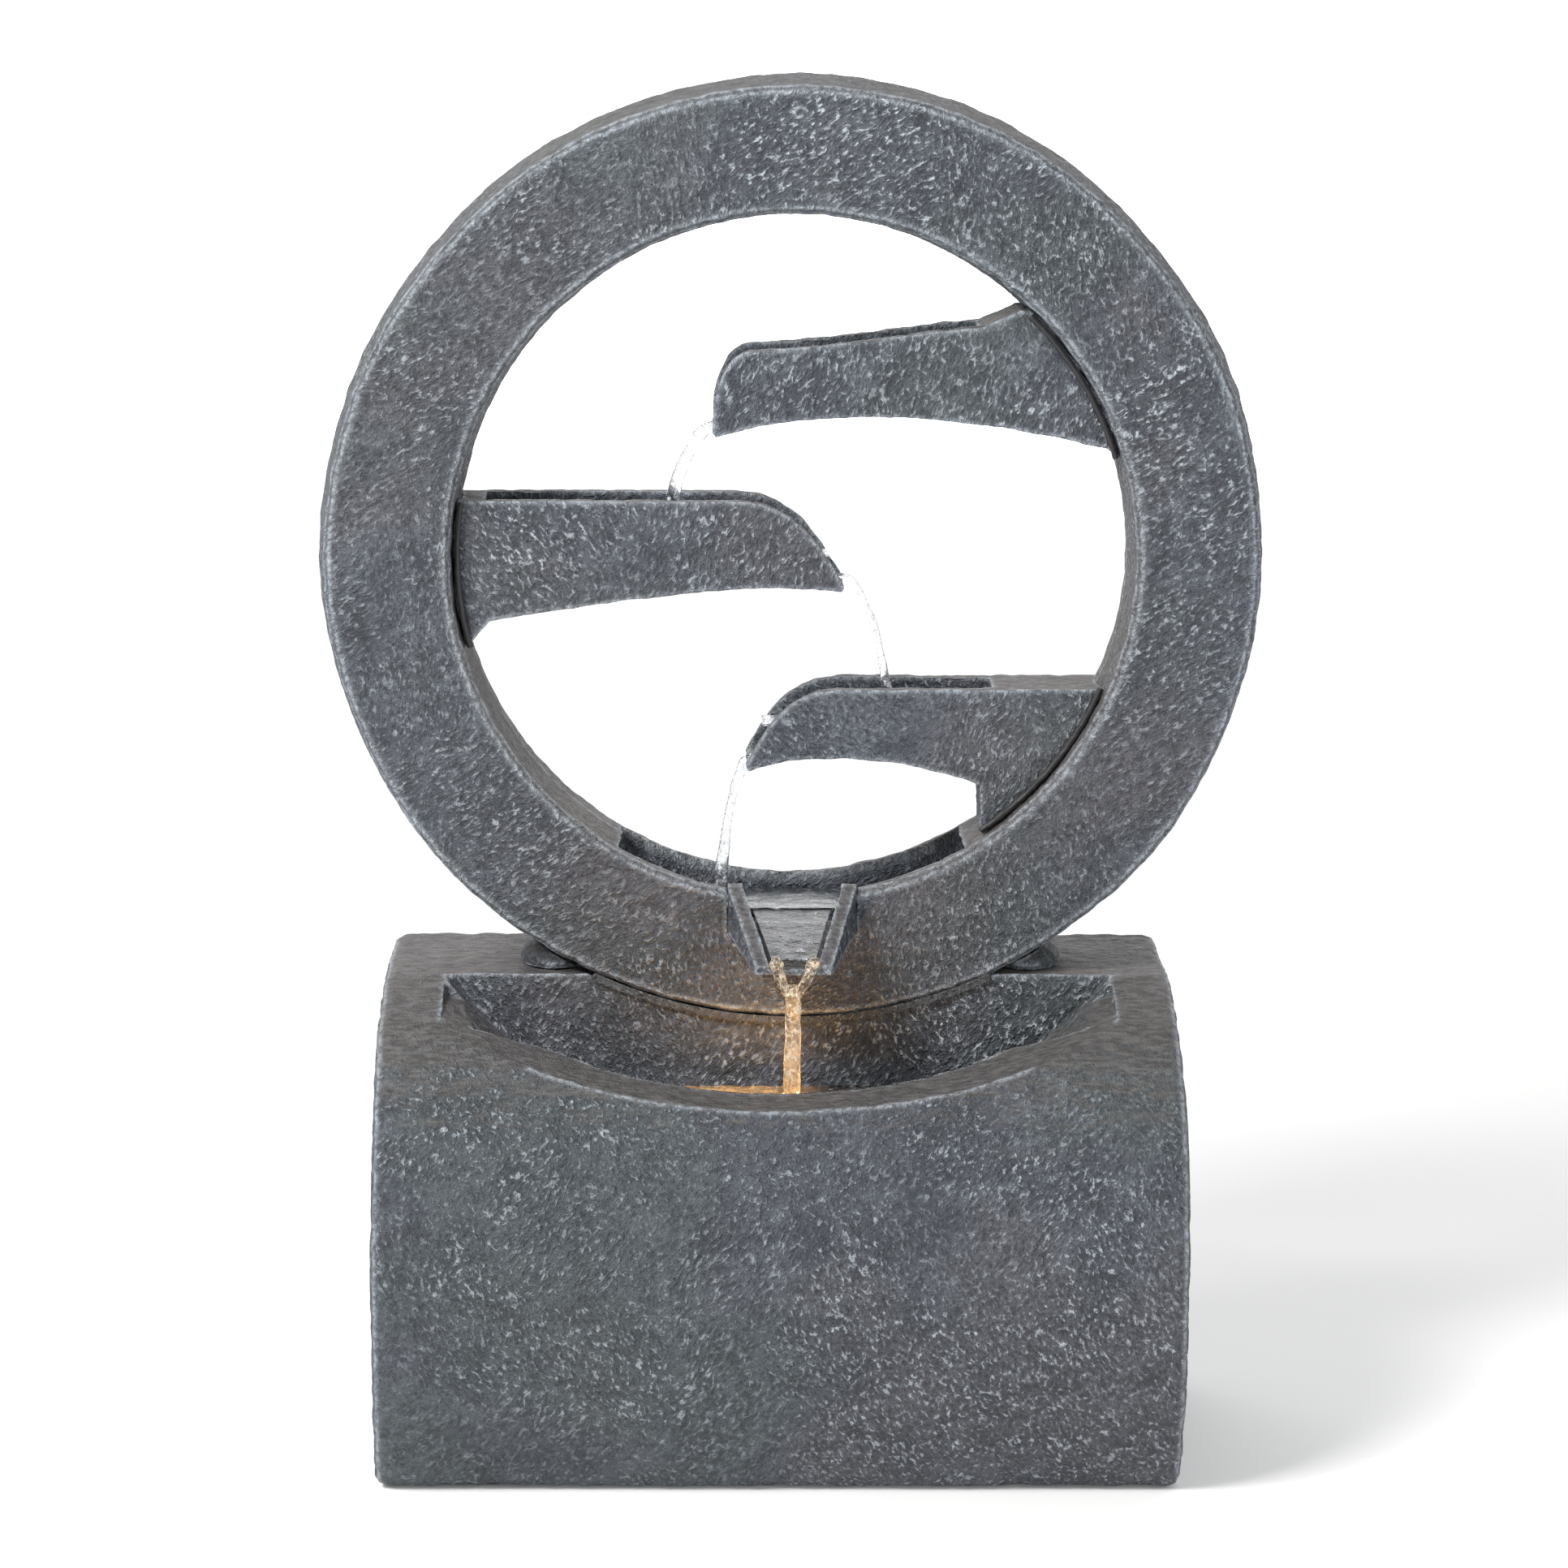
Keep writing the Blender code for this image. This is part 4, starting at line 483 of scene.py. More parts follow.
@dataclass(frozen=True)
class WaterFinish:
    """Clear water, with foam where it is stirred and amber where the light reaches it, which is
    painted glow: emission that stands in for the light of the lamp under the water.
    """

    name: str
    shine: float = 0.5
    foam: float = 0.30
    foam_scale: float = 160.0
    foam_colour: Colour = (0.88, 0.89, 0.93)
    tint: Colour = (0.96, 0.98, 1.0)
    # The glow fields paint light: an amber emission that stands in for the light of the lamp under
    # the water, stronger lower down.
    glow: Colour = (1.0, 0.55, 0.20)
    painted_glow_strength: float = 0.0
    painted_glow_top: float = 0.30
    painted_glow_depth: float = 0.10
    painted_glow_centre: float | None = None
    painted_glow_reach: float = 0.075
    ripple: float = 0.0012

    def build(self) -> bpy.types.Material:
        """Writes the material.

        Returns:
            The water.
        """
        g = Graph(self.name)
        spot = g.place()
        waves = g.noise(spot, 90.0, 3.0, 0.5, 0.6)
        threads = g.noise(g.stretched(spot, (0.0, 0.0, 0.0), (1.0, 1.0, 5.0)), 520.0, 2.0, 0.5, 0.8)
        froth = g.noise(spot, self.foam_scale, 4.0, 0.65, 0.5).smooth(0.62 - 0.30 * self.foam, 0.74)
        normal = g.bump(waves * 0.6 + threads * 0.4, self.ripple, 0.8)
        values: dict[Any, Any] = {"Base Color": self.tint, "Roughness": 0.03, "IOR": 1.333,
                                  "Transmission Weight": 1.0, "Specular IOR Level": self.shine,
                                  "Normal": normal}
        # Painted glow: amber emission, brighter lower down and, for the pool, near the lamp.
        if self.painted_glow_strength:
            depth = g.axis(spot, "Z").smooth(self.painted_glow_top, self.painted_glow_top - self.painted_glow_depth)
            lit = (depth * (0.35 + 0.65 * threads.smooth(0.35, 0.65))).clamp()
            if self.painted_glow_centre is not None:
                aside = abs(g.axis(spot, "X") - self.painted_glow_centre)
                near = aside.smooth(self.painted_glow_reach, self.painted_glow_reach - 0.060)
                lit = lit * near * (0.3 + 0.7 * waves.smooth(0.38, 0.62))
            values["Emission Color"] = g.mix(lit, BLACK, self.glow)
            values["Emission Strength"] = self.painted_glow_strength
        clear = g.raw("ShaderNodeBsdfPrincipled", {}, values)
        white = g.raw("ShaderNodeBsdfPrincipled", {},
                      {"Base Color": self.foam_colour, "Roughness": 0.45, "Normal": normal})
        both = g.raw("ShaderNodeMixShader", {},
                     {0: froth, 1: clear.outputs[0], 2: white.outputs[0]})
        g.tree.links.new(both.outputs[0], g.output.inputs["Surface"])
        return g.material


# --------------------------------------------------------------------------- mesh work


def finished(name: str, bm: bmesh.types.BMesh, material: bpy.types.Material) -> bpy.types.Object:
    """Makes an object of a mesh.

    Args:
        name: the piece's name.
        bm: the mesh, which is freed.
        material: its finish.

    Returns:
        The object, at the origin.
    """
    mesh = bpy.data.meshes.new(name)
    bm.to_mesh(mesh)
    bm.free()
    mesh.materials.append(material)
    mesh.shade_smooth()
    made = bpy.data.objects.new(name, mesh)
    bpy.context.scene.collection.objects.link(made)
    return made


def on_root(piece: bpy.types.Object) -> bpy.types.Object:
    """Lets a piece ride on the root.

    Args:
        piece: the piece.

    Returns:
        The piece.
    """
    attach(piece, "root")
    LOG.info("%s: %d faces", piece.name, len(piece.data.polygons))
    return piece


def face_up(bm: bmesh.types.BMesh) -> None:
    """Turns a level sheet's faces upwards."""
    bm.normal_update()
    if sum(f.normal.z for f in bm.faces) < 0:
        bmesh.ops.reverse_faces(bm, faces=bm.faces[:])


def everything(bm: bmesh.types.BMesh) -> list[Any]:
    """All of a mesh's points, edges and faces."""
    return bm.verts[:] + bm.edges[:] + bm.faces[:]


def frame_copy(node: bpy.types.Object) -> bmesh.types.BMesh:
    """Copies a frame node's mesh and joins its loose triangles into flat faces.

    Args:
        node: the frame node.

    Returns:
        The copy.
    """
    bm = bmesh.new()
    bm.from_mesh(node.data)
    bmesh.ops.remove_doubles(bm, verts=bm.verts[:], dist=MERGE_DISTANCE)
    bmesh.ops.dissolve_limit(bm, angle_limit=math.radians(0.4), use_dissolve_boundaries=False,
                             verts=bm.verts[:], edges=bm.edges[:])
    bmesh.ops.triangulate(bm, faces=bm.faces[:], quad_method="BEAUTY", ngon_method="BEAUTY")
    bm.normal_update()
    return bm


def sharp_points(bm: bmesh.types.BMesh, angle: float, step: float) -> KDTree:
    """Walks the outward corners of a mesh.

    Args:
        bm: the mesh.
        angle: the least angle of a corner, in degrees.
        step: distance from point to point.

    Returns:
        A tree of the points.
    """
    points: list[Vector] = []
    for edge in bm.edges:
        if len(edge.link_faces) != 2 or not edge.is_convex:
            continue
        if edge.calc_face_angle(0.0) > math.radians(angle):
            a, b = edge.verts[0].co, edge.verts[1].co
            count = max(1, int((b - a).length / step))
            points.extend(a.lerp(b, i / count) for i in range(count + 1))
    tree = KDTree(len(points) or 1)
    for i, point in enumerate(points or [Vector((9.0, 9.0, 9.0))]):
        tree.insert(point, i)
    tree.balance()
    return tree


def refine(bm: bmesh.types.BMesh, span: Span) -> None:
    """Splits a mesh's long edges until none is longer than its place allows.

    Args:
        bm: the mesh, of triangles.
        span: gives the longest edge from a middle point and a face normal.
    """
    ease = 1.0
    for _ in range(REFINE_PASSES):
        long = [e for e in bm.edges if e.link_faces and e.calc_length() > ease * min(
            span((e.verts[0].co + e.verts[1].co) / 2, f.normal) for f in e.link_faces)]
        if not long:
            return
        bmesh.ops.subdivide_edges(bm, edges=long, cuts=1, use_grid_fill=False)
        many = [f for f in bm.faces if len(f.verts) > 3]
        bmesh.ops.triangulate(bm, faces=many, quad_method="SHORT_EDGE", ngon_method="BEAUTY")
        bm.normal_update()


@dataclass
class Relief:
    """The unevenness of a hand-finished casting; sizes in metres."""

    sway: float = 0.0011
    sway_size: float = 0.090
    lump: float = 0.00105
    lump_size: float = 0.013
    pit: float = 0.00042
    pit_size: float = 0.0052
    seed: Vector = field(default_factory=lambda: Vector((0.0, 0.0, 0.0)))

    def at(self, place: Vector) -> float:
        """How far the skin stands out at a point.

        Args:
            place: the point.

        Returns:
            Metres along the normal.
        """
        spot = place + self.seed
        slow = noise.noise(spot / self.sway_size)
        bumps = noise.fractal(spot / self.lump_size, 0.9, 2.0, 2)
        ridged = 0.5 - abs(noise.noise(spot / self.pit_size))
        return self.sway * slow + self.lump * bumps + self.pit * ridged


@dataclass
class Casting:
    """One cast stone piece, made from its frame node."""

    node: str
    name: str
    finish: bpy.types.Material
    slot: str
    fine: float
    span: Span
    relief: Relief = field(default_factory=Relief)
    wear_angle: float = 32.0
    wear_width: float = 0.0022
    sink: float = 0.0004
    softening: float = 0.35
    bend: Callable[[Vector], Vector] | None = None

    def build(self, frame: dict[str, Any]) -> bpy.types.Object:
        """Makes the piece and hides the node that it stands for.


        Returns:
            The piece, riding on the root.
        """
        bm = frame_copy(frame["nodes"][self.node])
        corners = sharp_points(bm, self.wear_angle, 0.0015)
        refine(bm, self.span)
        wear = bm.verts.layers.float.new(WEAR_ATTRIBUTE)
        for vert in bm.verts:
            _, _, away = corners.find(vert.co)
            vert[wear] = math.exp(-((away / self.wear_width) ** 2))
        low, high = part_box(self.node)
        for vert in bm.verts:
            spot = self.bend(vert.co) if self.bend else vert.co.copy()
            spot += vert.normal * (self.relief.at(vert.co) - self.sink)
            vert.co = [min(max(spot[i], low[i]), high[i]) for i in range(3)]
        longest = 1.6 * self.fine
        close = [v for v in bm.verts if all(e.calc_length() < longest for e in v.link_edges)]
        bmesh.ops.smooth_vert(bm, verts=close, factor=self.softening, use_axis_x=True,
                              use_axis_y=True, use_axis_z=True)
        made = on_root(finished(self.name, bm, self.finish))
        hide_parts(self.node)
        return made


@dataclass
class SeamBead:
    """The rough bead of mortar where the ring's foot meets the pool's rear wall."""

    finish: bpy.types.Material
    radius: float = 0.3402
    face_y: float = 0.0150
    thickness: float = 0.0029
    start: float = -115.0
    end: float = -65.0
    steps: int = 240
    roughness: float = 0.0011
    crumb: float = 0.009

    def build(self) -> bpy.types.Object:
        """Spins a small circle round the ring's axis and roughens it.

        Returns:
            The bead, riding on the root.
        """
        bm = bmesh.new()
        made = bmesh.ops.create_circle(bm, cap_ends=True, segments=10, radius=self.thickness)
        bmesh.ops.translate(bm, verts=made["verts"], vec=(self.radius, 0.0, 0.0))
        for degrees, axis in ((90.0, "X"), (-self.start, "Y")):
            turn = Matrix.Rotation(math.radians(degrees), 3, axis)
            bmesh.ops.rotate(bm, verts=bm.verts[:], matrix=turn)
        bmesh.ops.spin(bm, geom=everything(bm), cent=(0.0, 0.0, 0.0), axis=(0.0, 1.0, 0.0),
                       angle=math.radians(self.start - self.end), steps=self.steps,
                       use_merge=False)
        bmesh.ops.translate(bm, verts=bm.verts[:], vec=(0.0, self.face_y, RING_CENTRE_Z))
        bmesh.ops.recalc_face_normals(bm, faces=bm.faces[:])
        bm.normal_update()
        for vert in bm.verts:
            crumbs = noise.fractal(vert.co / self.crumb, 0.9, 2.0, 3)
            vert.co += vert.normal * (self.roughness * crumbs)
        return on_root(finished("ring_seam_bead", bm, self.finish))


@dataclass
class StoneWork:
    """Every casting of the fountain."""

    fine: float = 0.0032
    middle: float = 0.0050
    coarse: float = 0.0150
    wobble: float = 0.0022
    waves: tuple[tuple[int, float, float], ...] = ((3, 0.6, 1.0), (7, 2.1, 0.5), (11, 0.0, 0.3))

    def _base_span(self, place: Vector, normal: Vector) -> float:
        """The longest edge on the base: short where the stone shows."""
        bow = normal.y < -0.25 and place.y < -0.10
        top = place.z > 0.226 and normal.z > -0.2 and place.y < 0.03 and abs(place.x + 0.01) < 0.25
        slab = place.z > 0.315 and normal.z > 0.3
        if bow or top or slab:
            return self.fine
        if abs(place.x + 0.01) > 0.280 or place.y > 0.170:
            return 1.7 * self.middle
        return self.coarse

    def _ring_span(self, place: Vector, normal: Vector) -> float:
        """The longest edge on the ring's shells."""
        radius = math.hypot(place.x, place.z - RING_CENTRE_Z)
        if place.y < RING_FRONT_Y + 0.003 and normal.y < -0.1:
            return self.fine
        if radius > RING_OUTER_R - 0.013 or radius < RING_INNER_R + 0.004:
            return self.middle
        return self.middle if place.y > RING_BACK_Y - 0.003 else self.coarse

    def _even(self, node: str, name: str, finish: bpy.types.Material, slot: str, edge: float,
              relief: Relief) -> Casting:
        """A small casting whose edges are equally short all over."""
        return Casting(node, name, finish, slot, edge, lambda place, normal: edge, relief)

    def _out_of_round(self, place: Vector) -> Vector:
        """Lets the ring's outer edge wander inwards a little, as the hand-laid one does."""
        across, above = place.x, place.z - RING_CENTRE_Z
        radius = math.hypot(across, above)
        reach = min(max((radius - RING_INNER_R) / (RING_OUTER_R - RING_INNER_R), 0.0), 1.0)
        around = math.atan2(above, across)
        wave = sum(math.sin(count * around + phase) * size for count, phase, size in self.waves)
        share = 1.0 - self.wobble * (0.9 + 0.5 * wave) * reach ** 2 / RING_OUTER_R
        return Vector((across * share, place.y, above * share + RING_CENTRE_Z))

    def build(self, frame: dict[str, Any]) -> list[bpy.types.Object]:
        """Makes all the castings, the mortar and the sealing beads.


        Returns:
            The pieces.
        """
        stone = StoneFinish("cast_stone_base").build()
        ring = StoneFinish("cast_stone_ring", ring_shaped=True, turn=24.0,
                           brush_low=0.3, brush_high=1.4).build()
        arm = StoneFinish("cast_stone_spouts", turn=-12.0, relief=0.0036,
                          brush_low=0.3, brush_high=1.4).build()
        mortar = StoneFinish("rough_mortar", slate=(0.13, 0.13, 0.125), relief=0.0036,
                             chalk_amount=0.3).build()
        bead = FittingFinish("sealing_bead", (0.022, 0.022, 0.024), 0.55, Grain.CLOUDY,
                             relief=0.0004).build()
        made = [
            Casting("base_shell", "base_casting", stone, "cast_stone", self.fine, self._base_span),
            Casting("ring_front_shell", "ring_front_casting", ring, "cast_stone", self.fine,
                    self._ring_span, bend=self._out_of_round),
            Casting("ring_rear_shell", "ring_rear_casting", ring, "cast_stone", self.middle,
                    self._ring_span, bend=self._out_of_round),
            self._even("channel_liner", "channel_liner_casting", stone, "cast_stone", self.fine,
                       Relief(sway=0.0, lump=0.0003, pit=0.0002)),
            self._even("lip_spout", "lip_casting", stone, "cast_stone", 0.002,
                       Relief(sway=0.0004, lump=0.0006, pit=0.0004)),
        ]
        for i, tier in enumerate(("upper", "middle", "lower")):
            made.append(self._even(f"{tier}_spout", f"{tier}_spout_casting", arm, "cast_stone",
                                   0.0026, Relief(seed=Vector((i * 1.3, 0.0, 0.0)))))
            made.append(self._even(f"{tier}_spout_sealant", f"{tier}_spout_bead", bead, "sealant",
                                   0.0016, Relief(sway=0.0002, lump=0.0006, lump_size=0.008)))
        for side in ("left", "right"):
            made.append(self._even(f"foot_mortar_{side}", f"foot_mortar_lump_{side}", mortar,
                                   "mortar", 0.0018, Relief(lump=0.0011, pit=0.0006)))
        pieces = [casting.build(frame) for casting in made]
        pieces.append(SeamBead(mortar).build())
        return pieces


# --------------------------------------------------------------------------- water


@dataclass
class Stream:
    """A falling thread of water."""

    name: str
    path: tuple[tuple[float, float, float], ...]
    widths: tuple[float, ...]
    finish: bpy.types.Material
    sides: int = 14
    steps: int = 90
    depth: float = 0.55
    ruffle: float = 0.0012
    seed: float = 0.0

    def _along(self, share: float) -> tuple[Vector, float]:
        """A smooth place on the path.

        Args:
            share: 0 at the start, 1 at the end.

        Returns:
            The point and the width there.
        """
        last = len(self.path) - 1
        at = min(share * last, last - 1e-6)
        i = int(at)
        t = at - i
        p = [Vector(self.path[min(max(i + k, 0), last)]) for k in (-1, 0, 1, 2)]
        point = 0.5 * ((2 * p[1]) + (p[2] - p[0]) * t
                       + (2 * p[0] - 5 * p[1] + 4 * p[2] - p[3]) * t * t
                       + (3 * p[1] - p[0] - 3 * p[2] + p[3]) * t ** 3)
        width = self.widths[i] * (1 - t) + self.widths[i + 1] * t
        return point, width

    def build(self) -> bpy.types.Object:
        """Extrudes a rim of points along the path.

        Returns:
            The stream, riding on the root.
        """
        bm = bmesh.new()
        rim = bmesh.ops.create_circle(bm, cap_ends=False, segments=self.sides, radius=0.5)["verts"]
        flat = [v.co.copy() for v in rim]
        self._set(rim, flat, 0.0)
        edges = list({e for v in rim for e in v.link_edges})
        for step in range(1, self.steps + 1):
            out = bmesh.ops.extrude_edge_only(bm, edges=edges)["geom"]
            fresh = {g for g in out if isinstance(g, bmesh.types.BMVert)}
            rim = [next(e.other_vert(v) for e in v.link_edges if e.other_vert(v) in fresh)
                   for v in rim]
            edges = [g for g in out if isinstance(g, bmesh.types.BMEdge)
                     and all(v in fresh for v in g.verts)]
            self._set(rim, flat, step / self.steps)
        bmesh.ops.holes_fill(bm, edges=[e for e in bm.edges if e.is_boundary], sides=self.sides)
        bmesh.ops.recalc_face_normals(bm, faces=bm.faces[:])
        return on_root(finished(self.name, bm, self.finish))

    def _set(self, ring: list[bmesh.types.BMVert], offsets: list[Vector], share: float) -> None:
        """Lays one rim of points across the path.

        Args:
            ring: the rim.
            offsets: the rim's round form, in the order of the first rim.
            share: the place along the path.
        """
        point, width = self._along(share)
        ahead, _ = self._along(min(1.0, share + 0.01))
        behind, _ = self._along(max(0.0, share - 0.01))
        way = (ahead - behind).normalized()
        side = Vector((0.0, 1.0, 0.0)).cross(way).normalized()
        deep = way.cross(side).normalized()
        for vert, flat in zip(ring, offsets):
            angle = math.atan2(flat.y, flat.x)
            spot = Vector((math.cos(angle) * 0.8 + self.seed, math.sin(angle) * 0.8, share * 9.0))
            scale = max(0.15, 1.0 + noise.noise(spot) * self.ruffle / max(width, 0.001) * 2.0)
            across = side * flat.x * width * scale
            vert.co = point + across + deep * flat.y * width * self.depth * scale


@dataclass
class Pond:
    """A still sheet of water that fills a hollow of a casting at one height."""

    name: str
    node: str
    level: float
    inside: tuple[float, float]
    finish: bpy.types.Material
    fit: float = 0.997
    ripple: float = 0.0006
    ripple_size: float = 0.020
    span: float = 0.004
    thickness: float = 0.0015

    def build(self, frame: dict[str, Any]) -> bpy.types.Object:
        """Cuts the casting at the water's height and fills the hollow's outline.


        Returns:
            The sheet, riding on the root.
        """
        bm = bmesh.new()
        bm.from_mesh(frame["nodes"][self.node].data)
        bmesh.ops.remove_doubles(bm, verts=bm.verts[:], dist=MERGE_DISTANCE)
        cut = bmesh.ops.bisect_plane(bm, geom=everything(bm), dist=0.00001,
                                     plane_co=(0.0, 0.0, self.level), plane_no=(0.0, 0.0, 1.0),
                                     clear_inner=True, clear_outer=True)["geom_cut"]
        edges = [e for e in cut if isinstance(e, bmesh.types.BMEdge)]
        loop = self._round(edges)
        bmesh.ops.delete(bm, geom=[e for e in bm.edges if e not in loop], context="EDGES")
        bmesh.ops.contextual_create(bm, geom=[e for e in bm.edges])
        bmesh.ops.delete(bm, geom=[v for v in bm.verts if not v.link_edges], context="VERTS")
        middle = sum((v.co for v in bm.verts), Vector()) / len(bm.verts)
        bmesh.ops.scale(bm, verts=bm.verts[:], vec=(self.fit, self.fit, 1.0),
                        space=Matrix.Translation(-middle))
        bmesh.ops.triangulate(bm, faces=bm.faces[:], quad_method="BEAUTY", ngon_method="BEAUTY")
        refine(bm, lambda place, normal: self.span)
        for vert in bm.verts:
            vert.co.z += self.ripple * noise.fractal(vert.co / self.ripple_size, 1.0, 2.0, 3)
        face_up(bm)
        bmesh.ops.solidify(bm, geom=bm.faces[:], thickness=self.thickness)
        bmesh.ops.recalc_face_normals(bm, faces=bm.faces[:])
        return on_root(finished(self.name, bm, self.finish))

    def _round(self, edges: list[bmesh.types.BMEdge]) -> set[bmesh.types.BMEdge]:
        """Picks the closed outline that runs round a point.

        Args:
            edges: all the cut's edges.

        Returns:
            The edges of the smallest outline that has the point inside.
        """
        left = set(edges)
        best: set[bmesh.types.BMEdge] = set()
        best_size = 1e9
        while left:
            group = {left.pop()}
            grow = list(group)
            while grow:
                edge = grow.pop()
                for vert in edge.verts:
                    for other in vert.link_edges:
                        if other in left:
                            left.discard(other)
                            group.add(other)
                            grow.append(other)
            turns = 0
            for edge in group:
                a, b = edge.verts[0].co, edge.verts[1].co
                if (a.y > self.inside[1]) != (b.y > self.inside[1]):
                    cross = a.x + (self.inside[1] - a.y) / (b.y - a.y) * (b.x - a.x)
                    turns += cross > self.inside[0]
            size = sum(e.calc_length() for e in group)
            if turns % 2 and size < best_size:
                best, best_size = group, size
        return best


@dataclass
class Sheet:
    """Thin running water on a straight bed."""

    name: str
    corners: tuple[tuple[float, float, float], tuple[float, float, float]]
    half_widths: tuple[float, float]
    finish: bpy.types.Material
    along_x: bool = True
    ripple: float = 0.0007
    thickness: float = 0.0012
    cells: tuple[int, int] = (60, 24)
    ripple_size: float = 0.012

    def build(self) -> bpy.types.Object:
        """Lays a grid from one end's middle to the other's.

        Returns:
            The sheet, riding on the root.
        """
        bm = bmesh.new()
        bmesh.ops.create_grid(bm, x_segments=self.cells[0], y_segments=self.cells[1], size=0.5)
        start, end = Vector(self.corners[0]), Vector(self.corners[1])
        for vert in bm.verts:
            share, side = vert.co.x + 0.5, vert.co.y * 2.0
            half = self.half_widths[0] * (1 - share) + self.half_widths[1] * share
            spot = start.lerp(end, share)
            spot[1 if self.along_x else 0] += side * half
            spot.z += self.ripple * noise.fractal(spot / self.ripple_size, 1.0, 2.0, 3)
            vert.co = spot
        face_up(bm)
        bmesh.ops.solidify(bm, geom=bm.faces[:], thickness=self.thickness)
        bmesh.ops.recalc_face_normals(bm, faces=bm.faces[:])
        return on_root(finished(self.name, bm, self.finish))


@dataclass
class WaterWork:
    """All the water, as it runs when the pump is on."""

    middle_y: float = 0.069
    pool_inside: tuple[float, float] = (-0.010, -0.030)
    spout_fall: float = 0.012
    spout_half: float = 0.0215
    spout_runs: dict[str, tuple[float, float, float]] = field(default_factory=lambda: {
        "upper": (0.120, -0.050, 0.774), "middle": (-0.218, 0.026, 0.650),
        "lower": (0.140, -0.022, 0.526)})

    def build(self, frame: dict[str, Any]) -> list[bpy.types.Object]:
        """Makes the pool, the channels' sheets and the falling streams.


        Returns:
            The pieces.
        """
        # Grey-lilac patches on the channel and lip water: partly foam, partly painted reflections
        # and highlights.
        foam_and_reflection_grey = (0.50, 0.49, 0.55)
        clear = WaterFinish("falling_water", foam=0.45, foam_scale=240.0).build()
        still = WaterFinish("channel_water", shine=0.2, foam=0.10, foam_scale=60.0,
                            foam_colour=foam_and_reflection_grey).build()
        running = WaterFinish("lip_water", shine=0.12, foam=0.10, foam_scale=75.0,
                              foam_colour=foam_and_reflection_grey).build()
        # Painted light: the amber tint, the amber foam colour and the amber emission stand in for
        # the lamp's light in the water.
        lit = WaterFinish("lit_falling_water", foam=0.55, foam_scale=240.0,
                          foam_colour=(0.95, 0.80, 0.60), tint=(1.0, 0.93, 0.82),
                          painted_glow_strength=0.30, painted_glow_top=0.366, painted_glow_depth=0.08).build()
        # Painted glow on the pool: an amber tint and an amber emission near the lamp.
        pool = WaterFinish("pool_water", foam=0.05, painted_glow_strength=0.42, painted_glow_top=0.300,
                           painted_glow_depth=0.03, painted_glow_centre=-0.040, tint=(1.0, 0.90, 0.76)).build()
        y, channel = self.middle_y, CHANNEL_WATER_Z
        made = [
            Pond("pool_water_sheet", "base_shell", POOL_WATER_Z, self.pool_inside,
                 pool).build(frame),
            Sheet("channel_water_sheet", ((-0.098, y, channel), (0.098, y, channel)),
                  (0.040, 0.040), still).build(),
            Sheet("lip_water_sheet", ((0.0, 0.030, 0.3925), (0.0, -0.056, 0.3722)),
                  (0.029, 0.016), running, along_x=False, ripple=0.0005, cells=(60, 36)).build(),
        ]
        for name, (start, end, height) in self.spout_runs.items():
            made.append(Sheet(f"{name}_channel_water",
                              ((start, y, height + self.spout_fall), (end, y, height)),
                              (self.spout_half, self.spout_half), still).build())
        made.extend(stream.build() for stream in (
            Stream("upper_fall", ((-0.056, y, 0.7430), (-0.066, y, 0.7390), (-0.077, y, 0.7220),
                                  (-0.085, y, 0.7020), (-0.0895, y, 0.6780), (-0.0910, y, 0.6540)),
                   (0.008, 0.010, 0.0085, 0.0095, 0.012, 0.013), clear, seed=1.0),
            Stream("middle_fall", ((0.030, y, 0.6345), (0.044, y, 0.6295), (0.056, y, 0.6080),
                                   (0.0645, y, 0.5800), (0.0700, y, 0.5500), (0.0720, y, 0.5330)),
                   (0.005, 0.0045, 0.0040, 0.0050, 0.0075, 0.009), clear, seed=2.0),
            Stream("lower_fall", ((-0.028, y, 0.4985), (-0.0355, y, 0.4930), (-0.0430, y, 0.4700),
                                  (-0.0485, y, 0.4400), (-0.0515, y, 0.4120), (-0.0520, y, 0.3930)),
                   (0.007, 0.0075, 0.0065, 0.0075, 0.0095, 0.011), clear, seed=3.0),
            Stream("lip_strand_left", ((-0.0120, -0.0570, 0.3732), (-0.0125, -0.0605, 0.3700),
                                       (-0.0095, -0.0640, 0.3600), (-0.0035, -0.0665, 0.3470),
                                       (-0.0015, -0.0680, 0.3330)),
                   (0.005, 0.010, 0.0075, 0.006, 0.004), lit, seed=4.0),
            Stream("lip_strand_right", ((0.0140, -0.0570, 0.3732), (0.0140, -0.0605, 0.3700),
                                        (0.0095, -0.0640, 0.3600), (0.0025, -0.0665, 0.3470),
                                        (0.0005, -0.0680, 0.3330)),
                   (0.005, 0.010, 0.0075, 0.006, 0.004), lit, seed=5.0),
            Stream("lip_fall", ((-0.0008, -0.0662, 0.3560), (-0.0006, -0.0672, 0.3430),
                                (0.0, -0.0690, 0.3200), (-0.0008, -0.0705, 0.2900),
                                (-0.0008, -0.0715, 0.2615)),
                   (0.006, 0.011, 0.0115, 0.012, 0.014), lit, seed=6.0)))
        return made


# --------------------------------------------------------------------------- fittings and studio


